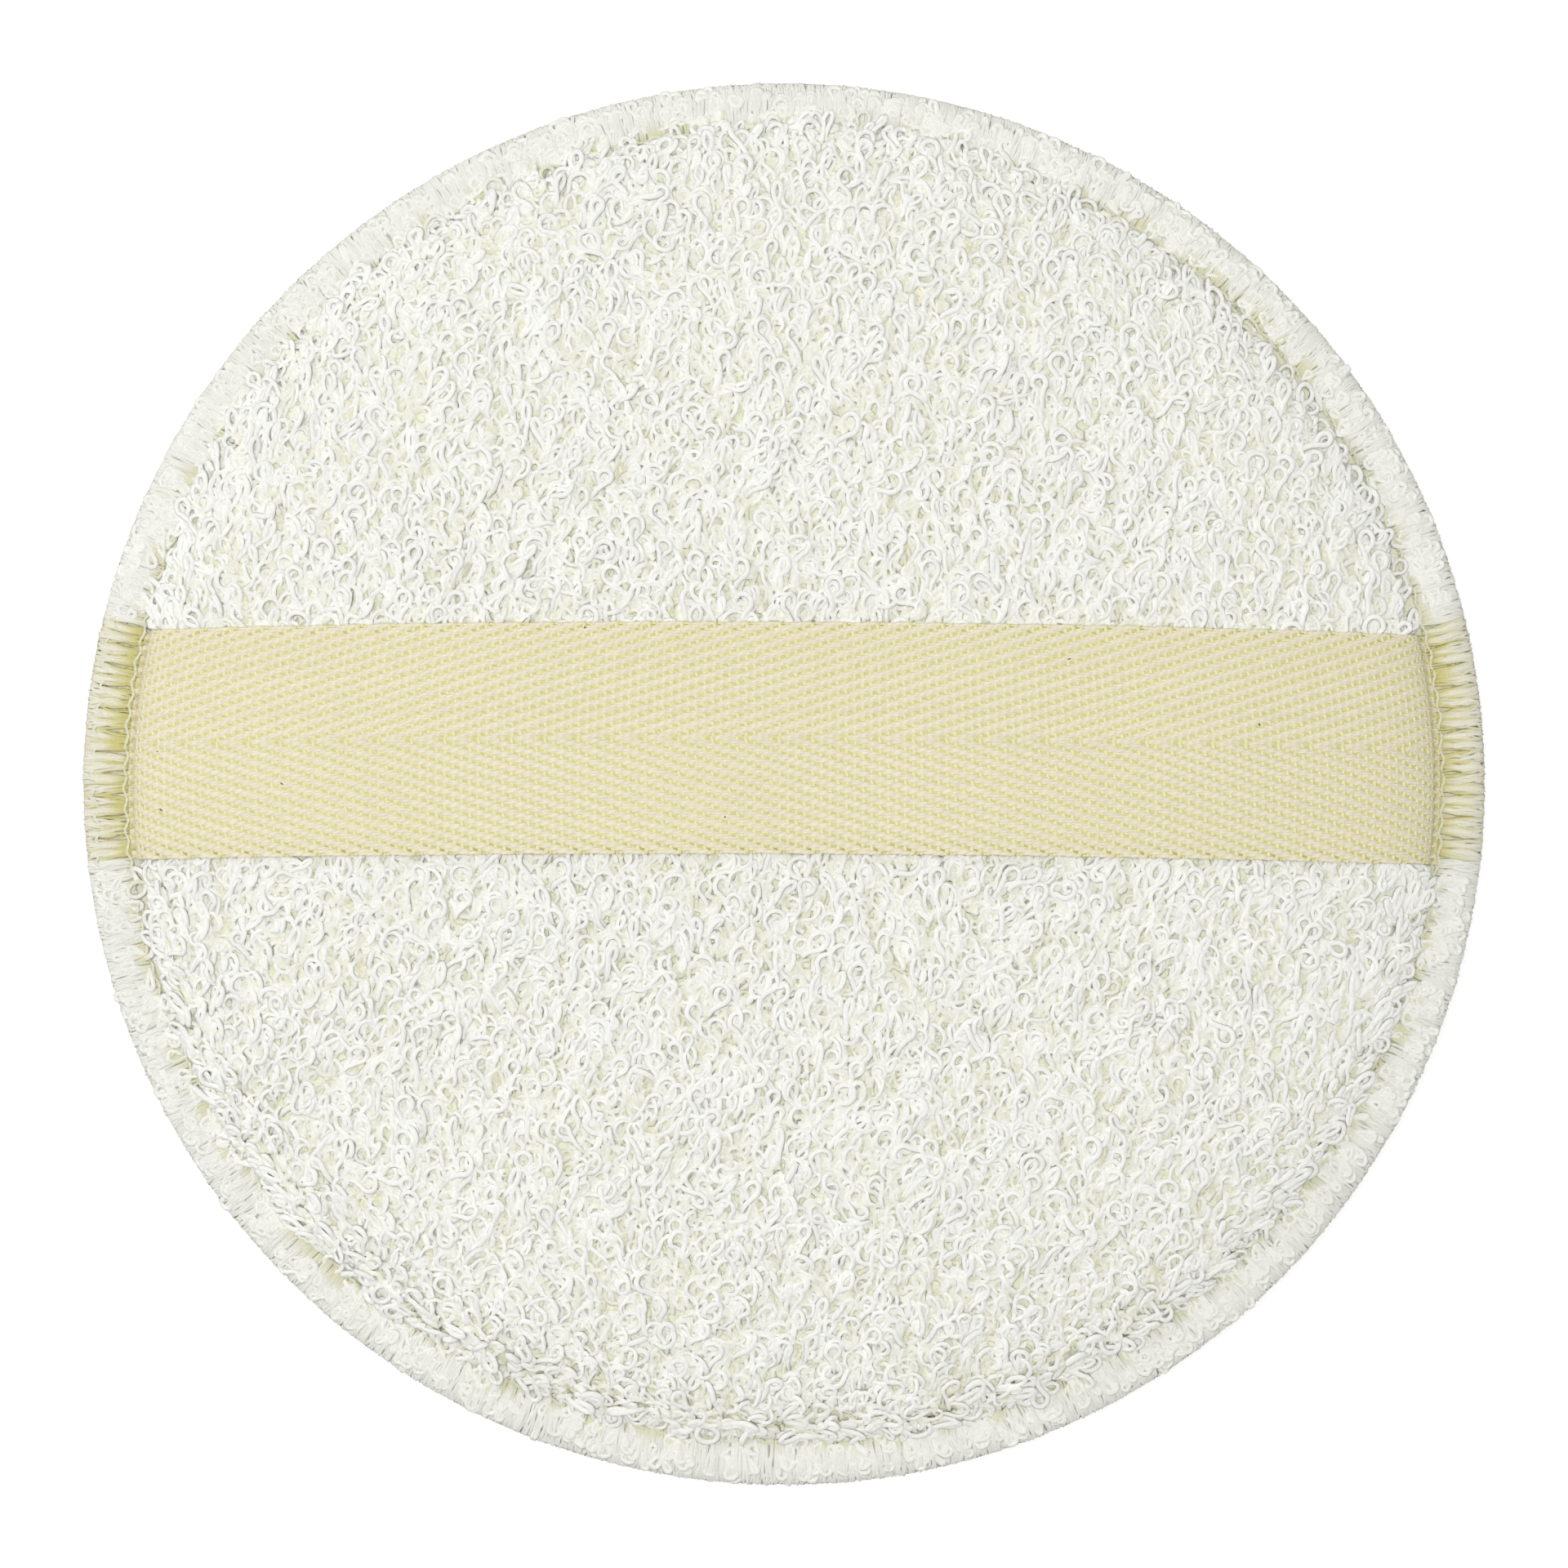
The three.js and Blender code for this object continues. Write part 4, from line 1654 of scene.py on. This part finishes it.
@dataclass(frozen=True)
class StudioSizes:
    """Sizes of the floor, the camera and the lights.

    Attributes:
        floor: Half the floor's width.
        camera_height: How far the camera is over the rim.
        view_width: The width seen at the rim's height.
        lamps: The area lights.
        zenith: Strength of the even light from above.
        horizon: Strength of the even light from the sides.
        zenith_height: How high, up to 1, a way has to point to meet the light from above alone.
        paper: How much of the floor's white is its own to the camera, near the pad.
        paper_light: How much white the floor shows in all, its own and the light on it.
        fade: The radii between which the floor turns to plain white to the camera.
    """

    floor: float = 1.6
    camera_height: float = 0.75
    view_width: float = 0.17305
    lamps: tuple[Lamp, ...] = (
        Lamp("overhead", 12.1, 0.3, (-0.03, 0.02, 1.4)),
        Lamp("window", 4.4, 1.2, (-0.9, 0.5, 0.9)),
    )
    zenith: float = 0.12
    horizon: float = 0.75
    zenith_height: float = 0.7
    paper: float = 0.6
    paper_light: float = 1.15
    fade: Span = (0.15, 0.7)


class Studio:
    """A white floor under soft light from above and from the left, seen from straight above."""

    def __init__(self, form: PadForm, sizes: StudioSizes) -> None:
        """Sets the pad's form and the studio's sizes."""
        self.form = form
        self.sizes = sizes

    def build(self) -> None:
        """Makes the floor, the lights and the camera."""
        self.floor()
        self.lights()
        self.camera()
        bpy.context.scene.view_settings.view_transform = "Standard"

    def floor(self) -> None:
        """A white floor that stays white to the camera and keeps the pad's shadow."""
        sizes = self.sizes
        mesh = bpy.data.meshes.new("floor")
        places = [(x * sizes.floor, y * sizes.floor, 0) for x, y in ((-1, -1), (1, -1), (1, 1), (-1, 1))]
        mesh.from_pydata(places, [], [(0, 1, 2, 3)])
        floor = linked("floor", mesh)
        made, graph = new_material("white_paper")
        seen = graph.seen()
        place = graph.add("TexCoord").outputs["Object"]
        away = graph.add("VectorMath", {"operation": "LENGTH"}, i0=place).outputs["Value"]
        fade = dict(zip(("From_Min", "From_Max"), sizes.fade))
        own = graph.add("MapRange", Value=away, To_Min=sizes.paper, To_Max=1.0, **fade).outputs[0]
        lit = graph.math("SUBTRACT", sizes.paper_light, own)
        paper = graph.add("BsdfDiffuse", Color=graph.mix(seen, rgba((0.9, 0.9, 0.9)), lit))
        glow = graph.add("Emission", Color=rgba((1, 1, 1)), Strength=graph.math("MULTIPLY", seen, own))
        both = graph.add("AddShader", i0=paper.outputs[0], i1=glow.outputs[0])
        graph.add("OutputMaterial", Surface=both.outputs[0])
        mesh.materials.append(made)
        floor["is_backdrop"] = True

    def lights(self) -> None:
        """The area lights and the even light round them."""
        sizes = self.sizes
        for lamp in sizes.lamps:
            light = bpy.data.lights.new(lamp.name, "AREA")
            light.energy = lamp.power
            light.size = lamp.width
            made = linked(lamp.name, light)
            made.location = lamp.place
            made.rotation_euler = (-Vector(lamp.place)).to_track_quat("-Z", "Y").to_euler()
        world = bpy.data.worlds.new("studio")
        world.use_nodes = True
        graph = Graph(world.node_tree)
        way = graph.add("SeparateXYZ", Vector=graph.add("TexCoord").outputs["Generated"]).outputs[2]
        ends = {"From_Max": sizes.zenith_height, "To_Min": sizes.horizon, "To_Max": sizes.zenith}
        strength = graph.add("MapRange", Value=way, **ends).outputs[0]
        even = graph.add("Background", Color=rgba((1, 0.995, 0.95)), Strength=strength)
        white = graph.add("Background", Color=rgba((1, 1, 1)), Strength=1.0)
        both = graph.add("MixShader", i0=graph.seen(), i1=even.outputs[0], i2=white.outputs[0])
        graph.add("OutputWorld", Surface=both.outputs[0])
        bpy.context.scene.world = world

    def camera(self) -> None:
        """The camera straight above, with the top of the picture towards +Y."""
        sizes = self.sizes
        lens = bpy.data.cameras.new("camera")
        lens.lens = lens.sensor_width * sizes.camera_height / sizes.view_width
        camera = linked("camera", lens)
        camera.location = (0, 0, self.form.seam + self.form.flange_top + sizes.camera_height)
        bpy.context.scene.camera = camera


def write_sizes() -> None:
    """Logs the CAD's box and the finished object's box, in millimetres."""
    boxes = {"cad": CAD_BOX, "visual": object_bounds()}
    {name: [list(corner) for corner in box] for name, box in boxes.items()}
    for name, box in boxes.items():
        log.info("%s box in mm: %s", name, [[round(v / MM, 2) for v in corner] for corner in box])


def main() -> None:
    """Builds the sponge and its studio, in order."""
    logging.basicConfig(level=logging.INFO, format="%(name)s: %(message)s")
    form = PadForm.from_frame()
    log.info("form: %s", form)
    tone, twist = yarn_tone_group(), ply_twist_group()
    terry, ground, tape, body, thread, on_tape, husk = (
        finish.material(tone, twist)
        for finish in (TERRY_YARN, GROUND_CLOTH, TAPE_YARN, TAPE_GAP_SHADE, OVERLOCK_YARN, OVERLOCK_ON_TAPE, HUSK)
    )
    layers = {
        Face.UPPER: (UPPER_PILE, UNDER_PILE, PROUD_PILE),
        Face.LOWER: (LOWER_PILE, LOWER_UNDER_PILE, LOWER_PROUD_PILE),
    }
    upper = TerrySide(form, Face.UPPER, layers[Face.UPPER], seed=11).build(terry, ground)
    lower = TerrySide(form, Face.LOWER, layers[Face.LOWER], seed=12).build(terry, ground)
    foam = FoamCore(form).build(FoamFinish().material())
    strap = HandStrap(form, WeaveSizes(), seed=13).build(tape, body, husk)
    rim = OverlockRim(form, StitchSizes(), seed=14).build(thread, on_tape)
    pieces = [*upper, *lower, foam, *strap, *rim]
    triangles = sum(len(piece.data.loops) - 2 * len(piece.data.polygons) for piece in pieces)
    log.info("%d pieces, %d triangles", len(pieces), triangles)
    Studio(form, StudioSizes()).build()
    write_sizes()


if __name__ == "__main__":
    main()
